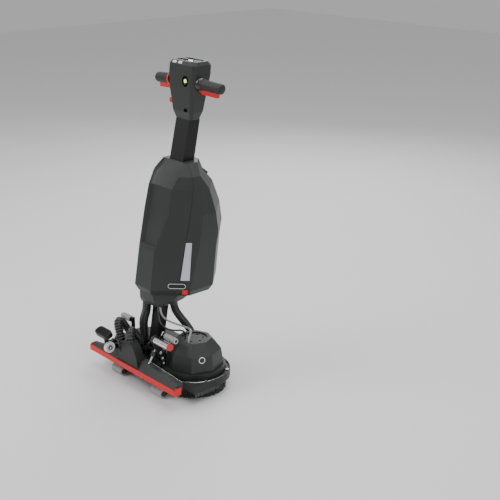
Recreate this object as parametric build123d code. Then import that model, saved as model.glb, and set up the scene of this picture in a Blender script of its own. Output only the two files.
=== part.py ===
"""Compact upright twin-disc scrubber-dryer: floor head, tilting upright and control head.

Design frame: X runs across the machine, Y from the squeegee edge towards the front, Z up from
the floor. Every piece is moved by -Y_MID when it is written, so that the origin of the stored
frame lies on the floor under the middle of the whole machine.
"""
import math
import os

from build123d import *

# ---------------------------------------------------------------- driving dimensions (mm)
Y_MID = 165.61                # middle of the machine along Y in the design frame
WALL = 4.0                    # moulded shell thickness
RUN = 0.05                    # radial clearance of a running fit
GAP = 0.5                     # clearance of sliding and rotating covers
LEAN = math.radians(10)       # forward lean of the parked upright

BRUSH_X, BRUSH_Y = 130.0, 177.0
BRUSH_R, DISC_R, SHAFT_R = 108.0, 100.0, 8.0
BRUSH_X_SIDES = {"right": BRUSH_X, "left": -BRUSH_X}

GEAR_MODULE = 2.5
GEAR_TEETH, IDLER_TEETH = 40, 32
IDLER_X = BRUSH_X - GEAR_MODULE * (GEAR_TEETH + IDLER_TEETH) / 2
GEAR_Z, GEAR_W, PIN_R = 66.0, 10.0, 6.0

DECK_Z, DECK_TOP = 40.0, 62.0
DECK_R, DECK_SIDE, DECK_REAR = 122.0, 250.0, 46.0
CASE_R, CASE_TOP = 106.0, 84.0

COVER_TOP, COVER_WALL = 178.0, 5.0
COVER_RINGS = [(100.0, CASE_TOP), (92.0, 140.0), (60.0, COVER_TOP)]   # radius, height
LOW_COVER_TOP, LOW_COVER_R = 112.0, 50.0

PIVOT_Y, PIVOT_Z = 108.0, 105.0
TILT_PIN_R, KNUCKLE_R = 8.0, 16.0

ROLLER_X, ROLLER_Y, ROLLER_Z = 114.0, 33.0, 16.0
ROLLER_R, ROLLER_W, AXLE_R = 16.0, 54.0, 4.0

BLADE_HALF, BLADE_LOW = 245.5, 57.0
HOOD_X, HOOD_HALF, HOOD_BASE, HOOD_HIGH = -20.0, 58.0, 84.0, 165.0
LIFT_LEAN = math.radians(33.4)         # forward lean of the squeegee guide rods
LIFT_TRAVEL, ROD_R, SLEEVE = 68.0, 4.0, 18.0
GUIDES = [(66.0, 58.0), (-150.0, 32.0)]   # rod x, distance along the rod to its sleeve
LINK_PIN_R = 4.0

PEG_Y, PEG_Z, PEG_R, PEG_IN, PEG_OUT = 46.0, 191.0, 12.0, 84.0, 160.0
PEDAL_X, PEDAL_PIVOT, PEDAL_ROLLER = -102.0, (57.0, 104.0), (-22.0, 126.0)
PEDAL_ROLLER_X = -89.0

HOSE_R, SIDE_HOSE_R, TUBE_R, CABLE_R = 15.0, 14.0, 3.5, 3.0

GRIP_Z, GRIP_Y, GRIP_IN, GRIP_R = 1022.0, 268.0, 71.5, 17.0
GRIP_SWEEP, GRIP_DROOP = 8.0, 0.08     # degrees forward, fall per unit of length


# ---------------------------------------------------------------- shape helpers
def write(shape, node):
    """Move a finished shape to the stored frame and write it as one node."""
    moved = Pos(0, -Y_MID, 0) * shape
    export_step(moved, f"parts/{node}.step")


def cyl_z(radius, low, high, x=0.0, y=0.0):
    """Upright cylinder between two heights."""
    return Pos(x, y, (low + high) / 2) * Cylinder(radius, high - low)


def cyl_x(radius, low, high, y, z):
    """Cylinder along X between two x positions."""
    return Pos((low + high) / 2, y, z) * Rot(0, 90, 0) * Cylinder(radius, high - low)


def block(x0, x1, y0, y1, z0, z1):
    """Box between two corners."""
    size = (x1 - x0, y1 - y0, z1 - z0)
    return Pos((x0 + x1) / 2, (y0 + y1) / 2, (z0 + z1) / 2) * Box(*size)


def plate_yz(points, x0, x1):
    """Flat plate across X whose outline is a list of (y, z) points."""
    outline = Polyline(*[(0, y, z) for y, z in points], close=True)
    return extrude(Pos(x0, 0, 0) * make_face(outline), x1 - x0, dir=(1, 0, 0))


def round_plate(ends, radii, x0, x1):
    """Link plate across X: the tapered strap round two (y, z) centres."""
    (y0, z0), (y1, z1) = ends
    along = math.atan2(z1 - z0, y1 - y0)
    side = along + math.pi / 2
    reach = [(radii[0], y0, z0), (radii[1], y1, z1)]
    strip = [(y + r * math.cos(side) * s, z + r * math.sin(side) * s)
             for s, order in ((1, reach), (-1, reach[::-1])) for r, y, z in order]
    shape = plate_yz(strip, x0, x1)
    for r, y, z in reach:
        shape += cyl_x(r, x0, x1, y, z)
    return shape


def stack(rings):
    """Closed solid from rings of points, flat facets between neighbouring rings."""
    faces = [Face(Wire.make_polygon(rings[0])), Face(Wire.make_polygon(rings[-1]))]
    count = len(rings[0])
    for low, high in zip(rings, rings[1:]):
        for i in range(count):
            j = (i + 1) % count
            corners = [low[i], low[j], high[j], high[i]]
            faces.append(Face(Wire.make_polygon(corners)))
    return Solid(Shell(faces))


def pod_ring(z, hw, bf, yb, yf, ff):
    """Eight-sided ring, symmetric about X = 0, with 45 degree corners."""
    ys, ye = yb + hw - bf, yf - (hw - ff)
    right = [(bf, yb), (hw, ys), (hw, ye), (ff, yf)]
    left = [(-x, y) for x, y in reversed(right)]
    return [(x, y, z) for x, y in right + left]


def shrink(level, wall):
    """The same level a wall thickness further in."""
    z, hw, bf, yb, yf, ff = level
    slope = wall * (math.sqrt(2) - 1)
    return (z, hw - wall, bf - slope, yb + wall, yf - wall, ff - slope)


def pod(levels, wall=0.0):
    """Faceted pod through the levels, or its inside when a wall is given."""
    return stack([pod_ring(*shrink(level, wall)) for level in levels])


def octagon_cover(levels, x, y):
    """Eight-sided faceted dome through (radius, height) levels."""
    turns = [math.radians(45 * k) for k in range(8)]
    return stack([[(x + r * math.cos(t), y + r * math.sin(t), z) for t in turns]
                  for r, z in levels])


def two_lobes(radius, low, high):
    """Deck-shaped block: round lobes over both brushes, straight front and back."""
    bar = block(-BRUSH_X, BRUSH_X, BRUSH_Y - radius, BRUSH_Y + radius, low, high)
    for x in BRUSH_X_SIDES.values():
        bar += cyl_z(radius, low, high, x, BRUSH_Y)
    return bar


def tube_path(points):
    """Straight runs joined by the largest tangent arcs the runs allow."""
    runs = [Vector(*b) - Vector(*a) for a, b in zip(points, points[1:])]
    radii = []
    for one, two in zip(runs, runs[1:]):
        half_turn = math.radians(one.get_angle(two)) / 2
        radii.append(0.45 * min(one.length, two.length) / math.tan(half_turn))
    return FilletPolyline(*points, radius=radii), radii


def tube(name, points, radius):
    """Round hose or cable along a route, with its bend radii reported."""
    path, radii = tube_path(points)
    section = Plane(origin=path @ 0, z_dir=path % 0) * Circle(radius)
    shape = sweep(section, path=path)
    expected = math.pi * radius ** 2 * path.length
    print(name, "length", round(path.length), "radii", [round(r) for r in radii],
          "volume ratio", round(shape.volume / expected, 3))
    return shape


def ringed(radius, bore, length, rib, pitch):
    """Ribbed sleeve on Z, from 0 to length, with evenly spaced ribs."""
    body = Pos(0, 0, length / 2) * Cylinder(radius, length)
    count = int((length - rib) // pitch) + 1
    first = (length - (count - 1) * pitch) / 2
    for k in range(count):
        body += Pos(0, 0, first + k * pitch) * Cylinder(radius + rib / 2, rib)
    return body - Pos(0, 0, length / 2) * Cylinder(bore, length + 2)


def spur_gear(teeth, bore, x, start=0.0):
    """Spur gear lying in the gear case, with straight-flanked teeth."""
    pitch_r = GEAR_MODULE * teeth / 2
    root_r, tip_r = pitch_r - 1.25 * GEAR_MODULE, pitch_r + 0.85 * GEAR_MODULE
    step = 2 * math.pi / teeth
    outline = []
    for k in range(teeth):
        middle = start + k * step
        for radius, share in ((root_r, -0.34), (tip_r, -0.11), (tip_r, 0.11), (root_r, 0.34)):
            angle = middle + share * step
            outline.append((radius * math.cos(angle), radius * math.sin(angle)))
    blank = extrude(make_face(Polyline(*outline, close=True)), GEAR_W)
    blank -= Pos(0, 0, GEAR_W / 2) * Cylinder(bore, GEAR_W + 2)
    for k in range(6):
        turn = k * math.pi / 3
        spot = ((root_r + bore) / 2 * math.cos(turn), (root_r + bore) / 2 * math.sin(turn))
        blank -= Pos(*spot, GEAR_W / 2) * Cylinder(root_r / 6, GEAR_W + 2)
    return Pos(x, BRUSH_Y, GEAR_Z) * blank


def screw(radius, head, length, x, y, z):
    """Pan-head screw pointing down, its head resting at height z."""
    shape = cyl_z(radius, z, z + head, x, y) + cyl_z(radius / 2, z - length, z, x, y)
    return shape - cyl_z(radius * 0.4, z + head / 2, z + head + 1, x, y)


# ---------------------------------------------------------------- floor head, fixed pieces
def deck_outline(inset, low, high):
    """Deck plan: lobes over the brushes, square rear flanks and a rear bar."""
    lobe_r = DECK_R - inset
    side, rear = DECK_SIDE - inset, BRUSH_Y - 100 + inset
    shape = two_lobes(lobe_r, low, high)
    shape -= block(-BRUSH_X, BRUSH_X, BRUSH_Y + 95 - inset, BRUSH_Y + lobe_r + 1, low, high)
    shape += block(-side, side, rear, BRUSH_Y, low, high)
    return shape


def screw_spots():
    """Places of the gear case screws, round both lobes."""
    spots = []
    for side in (1, -1):
        for angle in (95, 140, 200, 230):
            turn = math.radians(angle if side < 0 else 180 - angle)
            reach = CASE_R + 7
            spots.append((side * BRUSH_X + reach * math.cos(turn),
                          BRUSH_Y + reach * math.sin(turn)))
    return spots


def make_deck():
    """Deck tray, gear spindles, gear case, case screws and side brush strips."""
    tray = deck_outline(0, DECK_Z, DECK_TOP)
    tray += block(-165, 165, DECK_REAR, BRUSH_Y, DECK_Z + 6, DECK_TOP)
    cavity = deck_outline(WALL, DECK_Z - 1, DECK_TOP - 6)
    tray -= cavity
    for x in BRUSH_X_SIDES.values():
        tray -= cyl_z(2 * SHAFT_R, DECK_Z, DECK_TOP + 1, x, BRUSH_Y)
    for x in (IDLER_X, -IDLER_X):
        tray -= cyl_z(PIN_R, DECK_Z, DECK_TOP + 1, x, BRUSH_Y)
    for x, y in screw_spots():
        tray -= cyl_z(2.5, DECK_TOP - 10, DECK_TOP + 1, x, y)
    rim = deck_outline(0, DECK_TOP, DECK_TOP + 4) - deck_outline(4, DECK_TOP - 1, DECK_TOP + 5)
    rim -= block(-166, 166, 0, BRUSH_Y - 96 + 10, DECK_TOP - 1, DECK_TOP + 5)
    write(tray + rim, "deck_tray")

    spindles = [cyl_z(2 * SHAFT_R, DECK_TOP - 6, DECK_TOP, x, BRUSH_Y)
                - cyl_z(SHAFT_R + RUN, DECK_TOP - 7, DECK_TOP + 1, x, BRUSH_Y)
                for x in BRUSH_X_SIDES.values()]
    spindles += [cyl_z(PIN_R, DECK_TOP - 6, GEAR_Z + GEAR_W + 2, x, BRUSH_Y)
                 for x in (IDLER_X, -IDLER_X)]
    write(Compound(spindles), "gear_spindles")

    case = two_lobes(CASE_R, DECK_TOP, CASE_TOP)
    case -= two_lobes(CASE_R - WALL, DECK_TOP - 1, CASE_TOP - WALL)
    case -= cyl_z(SHAFT_R + 1, DECK_TOP, CASE_TOP + 1, BRUSH_X, BRUSH_Y)
    case += cyl_z(SHAFT_R + 8, CASE_TOP - 8, CASE_TOP - 4, -BRUSH_X, BRUSH_Y)
    case -= cyl_z(SHAFT_R + RUN, CASE_TOP - 9, CASE_TOP - 2, -BRUSH_X, BRUSH_Y)
    cap = octagon_cover([(LOW_COVER_R, CASE_TOP), (LOW_COVER_R - 12, LOW_COVER_TOP)],
                        -BRUSH_X, BRUSH_Y)
    case += cap
    write(case, "gear_case")

    screws = Compound([screw(5, 4, 8, x, y, DECK_TOP) for x, y in screw_spots()])
    write(screws, "deck_screws")

    strips = []
    for side in (1, -1):
        low, high = sorted((side * 241, side * 246))
        strips.append(block(low, high, 84, 194, 22, DECK_TOP - 6))
    write(Compound(strips), "side_brush_strips")


def make_covers():
    """Faceted cover over the right brush motor, and the motor under it."""
    cover = octagon_cover(COVER_RINGS, BRUSH_X, BRUSH_Y)
    inside = [(r - COVER_WALL, z - 2 * k) for k, (r, z) in enumerate(COVER_RINGS)]
    inside[0], inside[-1] = (inside[0][0], CASE_TOP - 1), (inside[-1][0], COVER_TOP - 9)
    cover -= octagon_cover(inside, BRUSH_X, BRUSH_Y)
    cover -= cyl_z(44, COVER_TOP - 4, COVER_TOP + 1, BRUSH_X, BRUSH_Y)
    tube_x, tube_y, _ = WATER_TUBE[-1]
    cover -= cyl_z(TUBE_R + 0.5, COVER_TOP - 12, COVER_TOP + 1, tube_x, tube_y)
    for k in range(6):
        turn = math.radians(60 * k)
        spot = (BRUSH_X + 30 * math.cos(turn), BRUSH_Y + 30 * math.sin(turn))
        cover -= cyl_z(4, COVER_TOP - 12, COVER_TOP + 1, *spot)
    write(cover, "right_motor_cover")

    motor = cyl_z(50, CASE_TOP + 4, 150, BRUSH_X, BRUSH_Y) + cyl_z(30, 150, 162, BRUSH_X, BRUSH_Y)
    motor += cyl_z(24, CASE_TOP, CASE_TOP + 4, BRUSH_X, BRUSH_Y)
    motor -= cyl_z(SHAFT_R + RUN, CASE_TOP - 1, CASE_TOP + 20, BRUSH_X, BRUSH_Y)
    write(motor, "brush_motor")


def make_neck():
    """Yoke on the gear case and the pin that the upright tilts on."""
    yoke = block(-43, 43, PIVOT_Y - 22, PIVOT_Y + 22, CASE_TOP, CASE_TOP + 3)
    for side in (1, -1):
        low, high = sorted((side * 30, side * 42))
        yoke += plate_yz([(PIVOT_Y - 22, CASE_TOP), (PIVOT_Y + 22, CASE_TOP),
                          (PIVOT_Y + 15, PIVOT_Z), (PIVOT_Y - 15, PIVOT_Z)], low, high)
        yoke += cyl_x(15, low, high, PIVOT_Y, PIVOT_Z)
    yoke -= cyl_x(TILT_PIN_R, -50, 50, PIVOT_Y, PIVOT_Z)
    write(yoke, "neck_yoke")
    pin = cyl_x(TILT_PIN_R, -42, 42, PIVOT_Y, PIVOT_Z)
    pin += cyl_x(11, 42, 46, PIVOT_Y, PIVOT_Z) + cyl_x(11, -46, -42, PIVOT_Y, PIVOT_Z)
    write(pin, "tilt_pin")


def make_pegs():
    """Docking peg on its bracket, and the ribbed hose stubs at both sides of the neck."""
    low, high = PEG_IN - 6, PEG_IN
    plate = round_plate(((PEG_Y, PEG_Z), (81, CASE_TOP + 20)), (15, 9), low, high)
    plate += block(low, high, 72, 90, CASE_TOP, CASE_TOP + 20)
    plate -= cyl_x(5, low - 1, high + 1, PEG_Y, PEG_Z)
    write(plate, "peg_brackets")

    peg = cyl_x(PEG_R, PEG_IN, PEG_OUT, PEG_Y, PEG_Z)
    peg -= cyl_x(PEG_R - 2, PEG_IN - 1, PEG_OUT + 1, PEG_Y, PEG_Z)
    for k in range(4):
        turn = math.radians(45 + 90 * k)
        peg -= cyl_x(1.2, PEG_IN - 1, PEG_OUT + 1, PEG_Y + PEG_R * math.cos(turn),
                     PEG_Z + PEG_R * math.sin(turn))
    write(peg, "docking_pegs")
    cap = cyl_x(PEG_R - 0.1, PEG_OUT, PEG_OUT + 8, PEG_Y, PEG_Z)
    cap += cyl_x(PEG_R - 2.2, PEG_OUT - 12, PEG_OUT, PEG_Y, PEG_Z)
    write(cap, "peg_caps")

    right = Pos(PEG_IN + 14, 80, STUB_Z) * Rot(0, 90, 0) * ringed(9, 4, 56, 3, 7)
    right += block(PEG_IN, PEG_IN + 14, 76, 84, STUB_Z - 13, STUB_Z + 7)
    right += plate_yz([(50, 180), (84, 186), (84, 200), (60, 200)], PEG_IN, PEG_IN + 5)
    right -= cyl_x(PEG_R + 8, PEG_IN - 1, PEG_IN + 15, PEG_Y, PEG_Z)
    left = Pos(-98, 80, STUB_Z) * Rot(0, -90, 0) * ringed(9, 4, 50, 3, 7)
    left += block(-98, -90, 76, 84, STUB_Z - 9, STUB_Z + 7)
    left += block(-94, -90, 76, 90, MANIFOLD_TOP, STUB_Z + 7)
    write(Compound([right, left]), "hose_coupling")


def make_rollers():
    """Two ribbed rear rollers in their side plates."""
    frames = []
    for middle in (-ROLLER_X, ROLLER_X):
        reach = ROLLER_W / 2
        for x in (middle - reach - 5, middle + reach + 2):
            arm = round_plate(((ROLLER_Y, ROLLER_Z), (52, 38)), (9, 8), x, x + 3)
            arm += block(x, x + 3, DECK_REAR + 2, 62, 30, DECK_Z + 6)
            arm -= two_lobes(DECK_R, DECK_Z, DECK_TOP)
            frames.append(arm - cyl_x(AXLE_R, x - 1, x + 4, ROLLER_Y, ROLLER_Z))
        frames.append(cyl_x(AXLE_R, middle - reach - 7, middle + reach + 7, ROLLER_Y, ROLLER_Z))
    write(Compound(frames), "roller_frames")
    for name, x in (("right", ROLLER_X), ("left", -ROLLER_X)):
        roller = ringed(ROLLER_R - 1, AXLE_R + RUN, ROLLER_W, 2, 4.5)
        write(Pos(x - ROLLER_W / 2, ROLLER_Y, ROLLER_Z) * Rot(0, 90, 0) * roller,
              f"roller_{name}")


# ---------------------------------------------------------------- brushes and gears
def make_brushes():
    """Brush discs, bristles and the gear train that joins them."""
    for name, x in BRUSH_X_SIDES.items():
        disc = cyl_z(DISC_R, 32, 38, x, BRUSH_Y) + cyl_z(26, 38, 48, x, BRUSH_Y)
        disc -= cyl_z(SHAFT_R, 30, 49, x, BRUSH_Y)
        write(disc, f"brush_disc_{name}")
        foot = Pos(x, BRUSH_Y, 16) * Cone(BRUSH_R, DISC_R - 4, 32)
        foot -= cyl_z(52, -1, 33, x, BRUSH_Y)
        write(foot, f"brush_bristles_{name}")
    half = math.pi / GEAR_TEETH
    right = spur_gear(GEAR_TEETH, SHAFT_R - 1, BRUSH_X, math.pi + half)
    write(right + cyl_z(SHAFT_R, 32, CASE_TOP + 16, BRUSH_X, BRUSH_Y), "brush_gear_right")
    write(spur_gear(IDLER_TEETH, PIN_R + RUN, IDLER_X, 0.0), "idler_gear_right")
    idler_half = math.pi / IDLER_TEETH
    write(spur_gear(IDLER_TEETH, PIN_R + RUN, -IDLER_X, idler_half), "idler_gear_left")
    left = spur_gear(GEAR_TEETH, SHAFT_R - 1, -BRUSH_X, 0.0)
    write(left + cyl_z(SHAFT_R, 32, CASE_TOP - 3, -BRUSH_X, BRUSH_Y), "brush_gear_left")


# ---------------------------------------------------------------- squeegee and pedal
def squeegee_ring(x, front, high):
    """Section of the squeegee body across Y and Z at one x."""
    ridge = min(front - 2, 12 + (high - 84) * 0.5)
    return [(x, 3.2, 66), (x, 3.2, 77), (x, ridge, high), (x, front, high), (x, front, 66)]


def rod_frame(x):
    """Frame at the foot of a guide rod, Z running up along the rod."""
    return Plane(origin=(x, 14, 76), z_dir=(0, math.sin(LIFT_LEAN), math.cos(LIFT_LEAN)))


def make_squeegee():
    """Squeegee body, blades, suction hood and guide rods; returns the deck's guide sleeves."""
    left_end, right_end, shoulder = 24.0, 36.0, 43.0
    right, left = HOOD_X + HOOD_HALF - 4, HOOD_X - HOOD_HALF + 4
    rings = [squeegee_ring(-240, left_end, 84), squeegee_ring(left, shoulder, 98),
             squeegee_ring(right, shoulder, 104), squeegee_ring(240, right_end, 96)]
    body = loft([make_face(Polyline(*ring, close=True)) for ring in rings], ruled=True)

    floor = HOOD_BASE - 18
    face = Plane(origin=(HOOD_X, 3.4, floor), x_dir=(1, 0, 0), z_dir=(0, 1, 0))
    hood = extrude(face * Ellipse(HOOD_HALF, HOOD_HIGH - floor), 32.6)
    hood &= block(-120, 90, 0, 40, HOOD_BASE - 14, HOOD_HIGH + 5)
    (left_x, left_y, left_z), (right_x, right_y, right_z) = LEFT_HOSE[0], RIGHT_HOSE[0]
    hood -= block(-90, left_x + 17, 0, 40, left_z, HOOD_HIGH)
    core = extrude(face.offset(4) * Ellipse(HOOD_HALF - 5, HOOD_HIGH - floor - 5), 25)
    core &= block(-120, left_x + 14, 0, 40, HOOD_BASE - 15, left_z - 4) \
        + block(left_x + 14, 90, 0, 40, HOOD_BASE - 15, HOOD_HIGH)
    body -= hood
    hood -= core
    hood += cyl_z(SIDE_HOSE_R + 2.4, left_z - 12, left_z + 8, left_x, left_y)
    hood -= cyl_z(SIDE_HOSE_R + 0.2, left_z, left_z + 9, left_x, left_y)
    hood -= cyl_z(SIDE_HOSE_R - 3, left_z - 13, left_z + 1, left_x, left_y)
    hood -= cyl_z(SIDE_HOSE_R + 0.2, right_z, HOOD_HIGH + 6, right_x, right_y)
    write(hood, "suction_hood")
    body -= cyl_z(SIDE_HOSE_R + 2.4, left_z - 12, left_z + 8, left_x, left_y)

    rear = block(-BLADE_HALF, BLADE_HALF, -0.8, 3.2, BLADE_LOW, 77)
    rear += block(BLADE_HALF - 5.5, BLADE_HALF, 3.2, 26, BLADE_LOW, 82)
    rear += block(-BLADE_HALF, 5.5 - BLADE_HALF, 3.2, 26, BLADE_LOW, 82)
    front = block(-236, 236, 18, 21, BLADE_LOW, 66)
    write(Compound([rear, front]), "squeegee_blades")
    for x in (-190, -130, 120, 180):
        body += cyl_z(6, 60, 66, x, 11)

    rods, sleeves = [], []
    for x, start in GUIDES:
        frame = rod_frame(x)
        rod = extrude(frame.offset(-4) * Circle(ROD_R), start + SLEEVE + LIFT_TRAVEL + 9)
        rods.append(rod)
        body -= rod
        middle = frame.offset(start + SLEEVE / 2).origin
        sleeve = plate_yz([(49, DECK_TOP), (65, DECK_TOP), (middle.Y + 11, middle.Z + 2),
                           (middle.Y + 4, middle.Z - 10)], x - 4, x + 4)
        sleeve += extrude(frame.offset(start) * Circle(ROD_R + 5), SLEEVE)
        sleeves.append(sleeve - extrude(frame * Circle(ROD_R + RUN), 200))
    write(body, "squeegee_body")
    write(Compound(rods), "lift_rods")
    return sleeves


def make_pedal(brackets):
    """Foot pedal on its arm with the buffer roller; also writes the rear brackets."""
    arm = round_plate((PEDAL_PIVOT, PEDAL_ROLLER), (9, 9), PEDAL_X - 2, PEDAL_X + 2)
    arm += round_plate((PEDAL_ROLLER, (-26, 160)), (9, 8), PEDAL_X - 2, PEDAL_X + 2)
    arm -= cyl_x(LINK_PIN_R + RUN, PEDAL_X - 5, PEDAL_X + 5, *PEDAL_PIVOT)
    arm += cyl_x(LINK_PIN_R, PEDAL_X - 2, PEDAL_ROLLER_X + 4, *PEDAL_ROLLER)
    arm += cyl_x(7.5, PEDAL_ROLLER_X + 4, PEDAL_ROLLER_X + 8.5, *PEDAL_ROLLER)
    write(arm, "pedal_arm")
    pad = Box(74, 34, 16)
    pad = fillet(pad.edges().filter_by(Axis.Z), 15)
    for k in range(9):
        pad += Pos(-28 + 7 * k, 0, 9) * Box(3, 22, 3)
    pad = Pos(-112, -27, 173) * Rot(24, 0, 0) * pad
    pad -= arm
    write(pad, "foot_pedal")
    roller = cyl_x(19, PEDAL_ROLLER_X - 6, PEDAL_ROLLER_X + 6, *PEDAL_ROLLER)
    roller -= cyl_x(LINK_PIN_R + RUN, PEDAL_ROLLER_X - 7, PEDAL_ROLLER_X + 7, *PEDAL_ROLLER)
    roller -= cyl_x(12, PEDAL_ROLLER_X + 3, PEDAL_ROLLER_X + 7, *PEDAL_ROLLER)
    write(roller, "pedal_roller")
    for low, high in ((PEDAL_X - 8, PEDAL_X - 3), (PEDAL_X + 3, PEDAL_X + 8)):
        ear = plate_yz([(50, DECK_TOP), (66, DECK_TOP), (65, PEDAL_PIVOT[1]),
                        (50, PEDAL_PIVOT[1])], low, high)
        ear += cyl_x(8, low, high, *PEDAL_PIVOT)
        brackets.append(ear - cyl_x(LINK_PIN_R, low - 1, high + 1, *PEDAL_PIVOT))
    brackets.append(cyl_x(LINK_PIN_R, PEDAL_X - 10, PEDAL_X + 10, *PEDAL_PIVOT))
    write(Compound(brackets), "rear_brackets")


# ---------------------------------------------------------------- hoses
LEFT_HOSE = [(-71, 20, 112), (-71, 20, 136), (-92, 24, 168), (-118, 36, 194), (-127, 54, 193),
             (-126, 74, 166), (-113, 91, 134), (-113, 91, 104)]
RIGHT_HOSE = [(-18, 20, 150), (-18, 20, 172), (-30, 28, 184), (-47, 44, 184), (-58, 60, 170),
              (-64, 78, 146), (-66, 90, 128), (-66, 90, 104)]
MAIN_HOSE = [(-80, 123, 104), (-80, 123, 134), (-72, 112, 172), (-50, 100, 214), (-31, 101, 252),
             (-31, 101, 285)]
FRONT_HOSE = [(35, 166, 285), (35, 166, 258), (33, 196, 214), (31, 224, 178), (28, 246, 144),
              (20, 258, 114), (20, 258, 84)]
WATER_TUBE = [(44, 101, 285), (44, 101, 262), (53, 116, 234), (68, 145, 216), (95, 168, 206),
              (124, 168, 206), (145, 150, 204), (153, 134, 194), (153, 134, 170)]
MOTOR_CABLE = [(28, 104, 285), (28, 104, 262), (40, 100, 222), (56, 118, 200), (76, 136, 196),
               (94, 152, 199), (102, 161, 190), (102, 161, 174)]
MANIFOLD_TOP, STUB_Z = 100.0, 199.0


def make_hoses():
    """Hoses and lines, and the sockets that take their lower ends."""
    write(tube("side_hose_left", LEFT_HOSE, SIDE_HOSE_R), "side_hose_left")
    write(tube("side_hose_right", RIGHT_HOSE, SIDE_HOSE_R), "side_hose_right")
    write(tube("main_hose", MAIN_HOSE, HOSE_R), "main_hose")
    write(tube("front_hose", FRONT_HOSE, HOSE_R - 1), "front_hose")
    lines = [tube("water_tube", WATER_TUBE, TUBE_R), tube("motor_cable", MOTOR_CABLE, CABLE_R)]
    write(Compound(lines), "service_lines")
    manifold = block(-132, -48, 74, 107, CASE_TOP, MANIFOLD_TOP)
    manifold += block(-98, -62, 104, 141, CASE_TOP, MANIFOLD_TOP)
    for x, y, z in (LEFT_HOSE[-1], RIGHT_HOSE[-1], MAIN_HOSE[0]):
        manifold += cyl_z(HOSE_R + 1, MANIFOLD_TOP - 1, z, x, y)
        manifold -= cyl_z(HOSE_R - 4, MANIFOLD_TOP - 6, z + 1, x, y)
    x, y, z = FRONT_HOSE[-1]
    socket = cyl_z(HOSE_R + 3, z, z + 9, x, y) - cyl_z(HOSE_R - 1 + 0.1, z - 1, z + 10, x, y)
    write(Compound([manifold, socket]), "hose_sockets")


# ---------------------------------------------------------------- upright
POD_LEVELS = [  # z, half width, back flat, back y, front y, front flat
    (332, 126, 35, 71, 336, 36), (352, 138.6, 43.8, 62.8, 348.4, 45), (487, 146, 42, 85, 366, 45),
    (540, 147, 52, 104.6, 377, 45), (608, 147, 64, 129, 367, 45), (685, 119, 60, 146, 338, 42),
    (727, 100, 66, 172, 303, 36), (765, 66, 44, 194, 290, 30)]
CHIN_LEVELS = [(285, 52, 40, 85, 186, 34), (300, 72, 42, 80, 215, 36), (332, 100, 36, 76, 270, 36)]
FACET_SLOPE = 0.178           # lean of the rear corner facets
SEAM_AT, SEAM_SLOPE = 52.0, 0.213
SCOOP = [(497, 29, 101), (540, 38.5, 119), (608, 49, 144), (685, 50, 158), (727, 50, 190),
         (800, 50, 232)]


def scoop(grow):
    """Hand scoop in the back of the pod, or the same grown by a wall."""
    rings = []
    for k, (z, floor_half, floor_y) in enumerate(SCOOP):
        half, y = floor_half + grow * 0.41, floor_y + grow
        low = z - grow if k == 0 else z
        rings.append([(half, y, low), (-half, y, low), (-half - 60, y - 60, low),
                      (half + 60, y - 60, low)])
    return stack(rings)


def half_space(offset, front):
    """Big block in front of, or behind, the leaning seam plane."""
    def seam(z):
        return SEAM_AT + SEAM_SLOPE * z + offset
    far = 700 if front else -300
    points = [(seam(200), 200), (seam(900), 900), (far, 900), (far, 200)]
    return plate_yz(points, -250, 250)


def lean_y(y0, z):
    """Y of a line that leans with the upright from (y0, pivot height)."""
    return y0 + (z - PIVOT_Z) * math.tan(LEAN)


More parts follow.
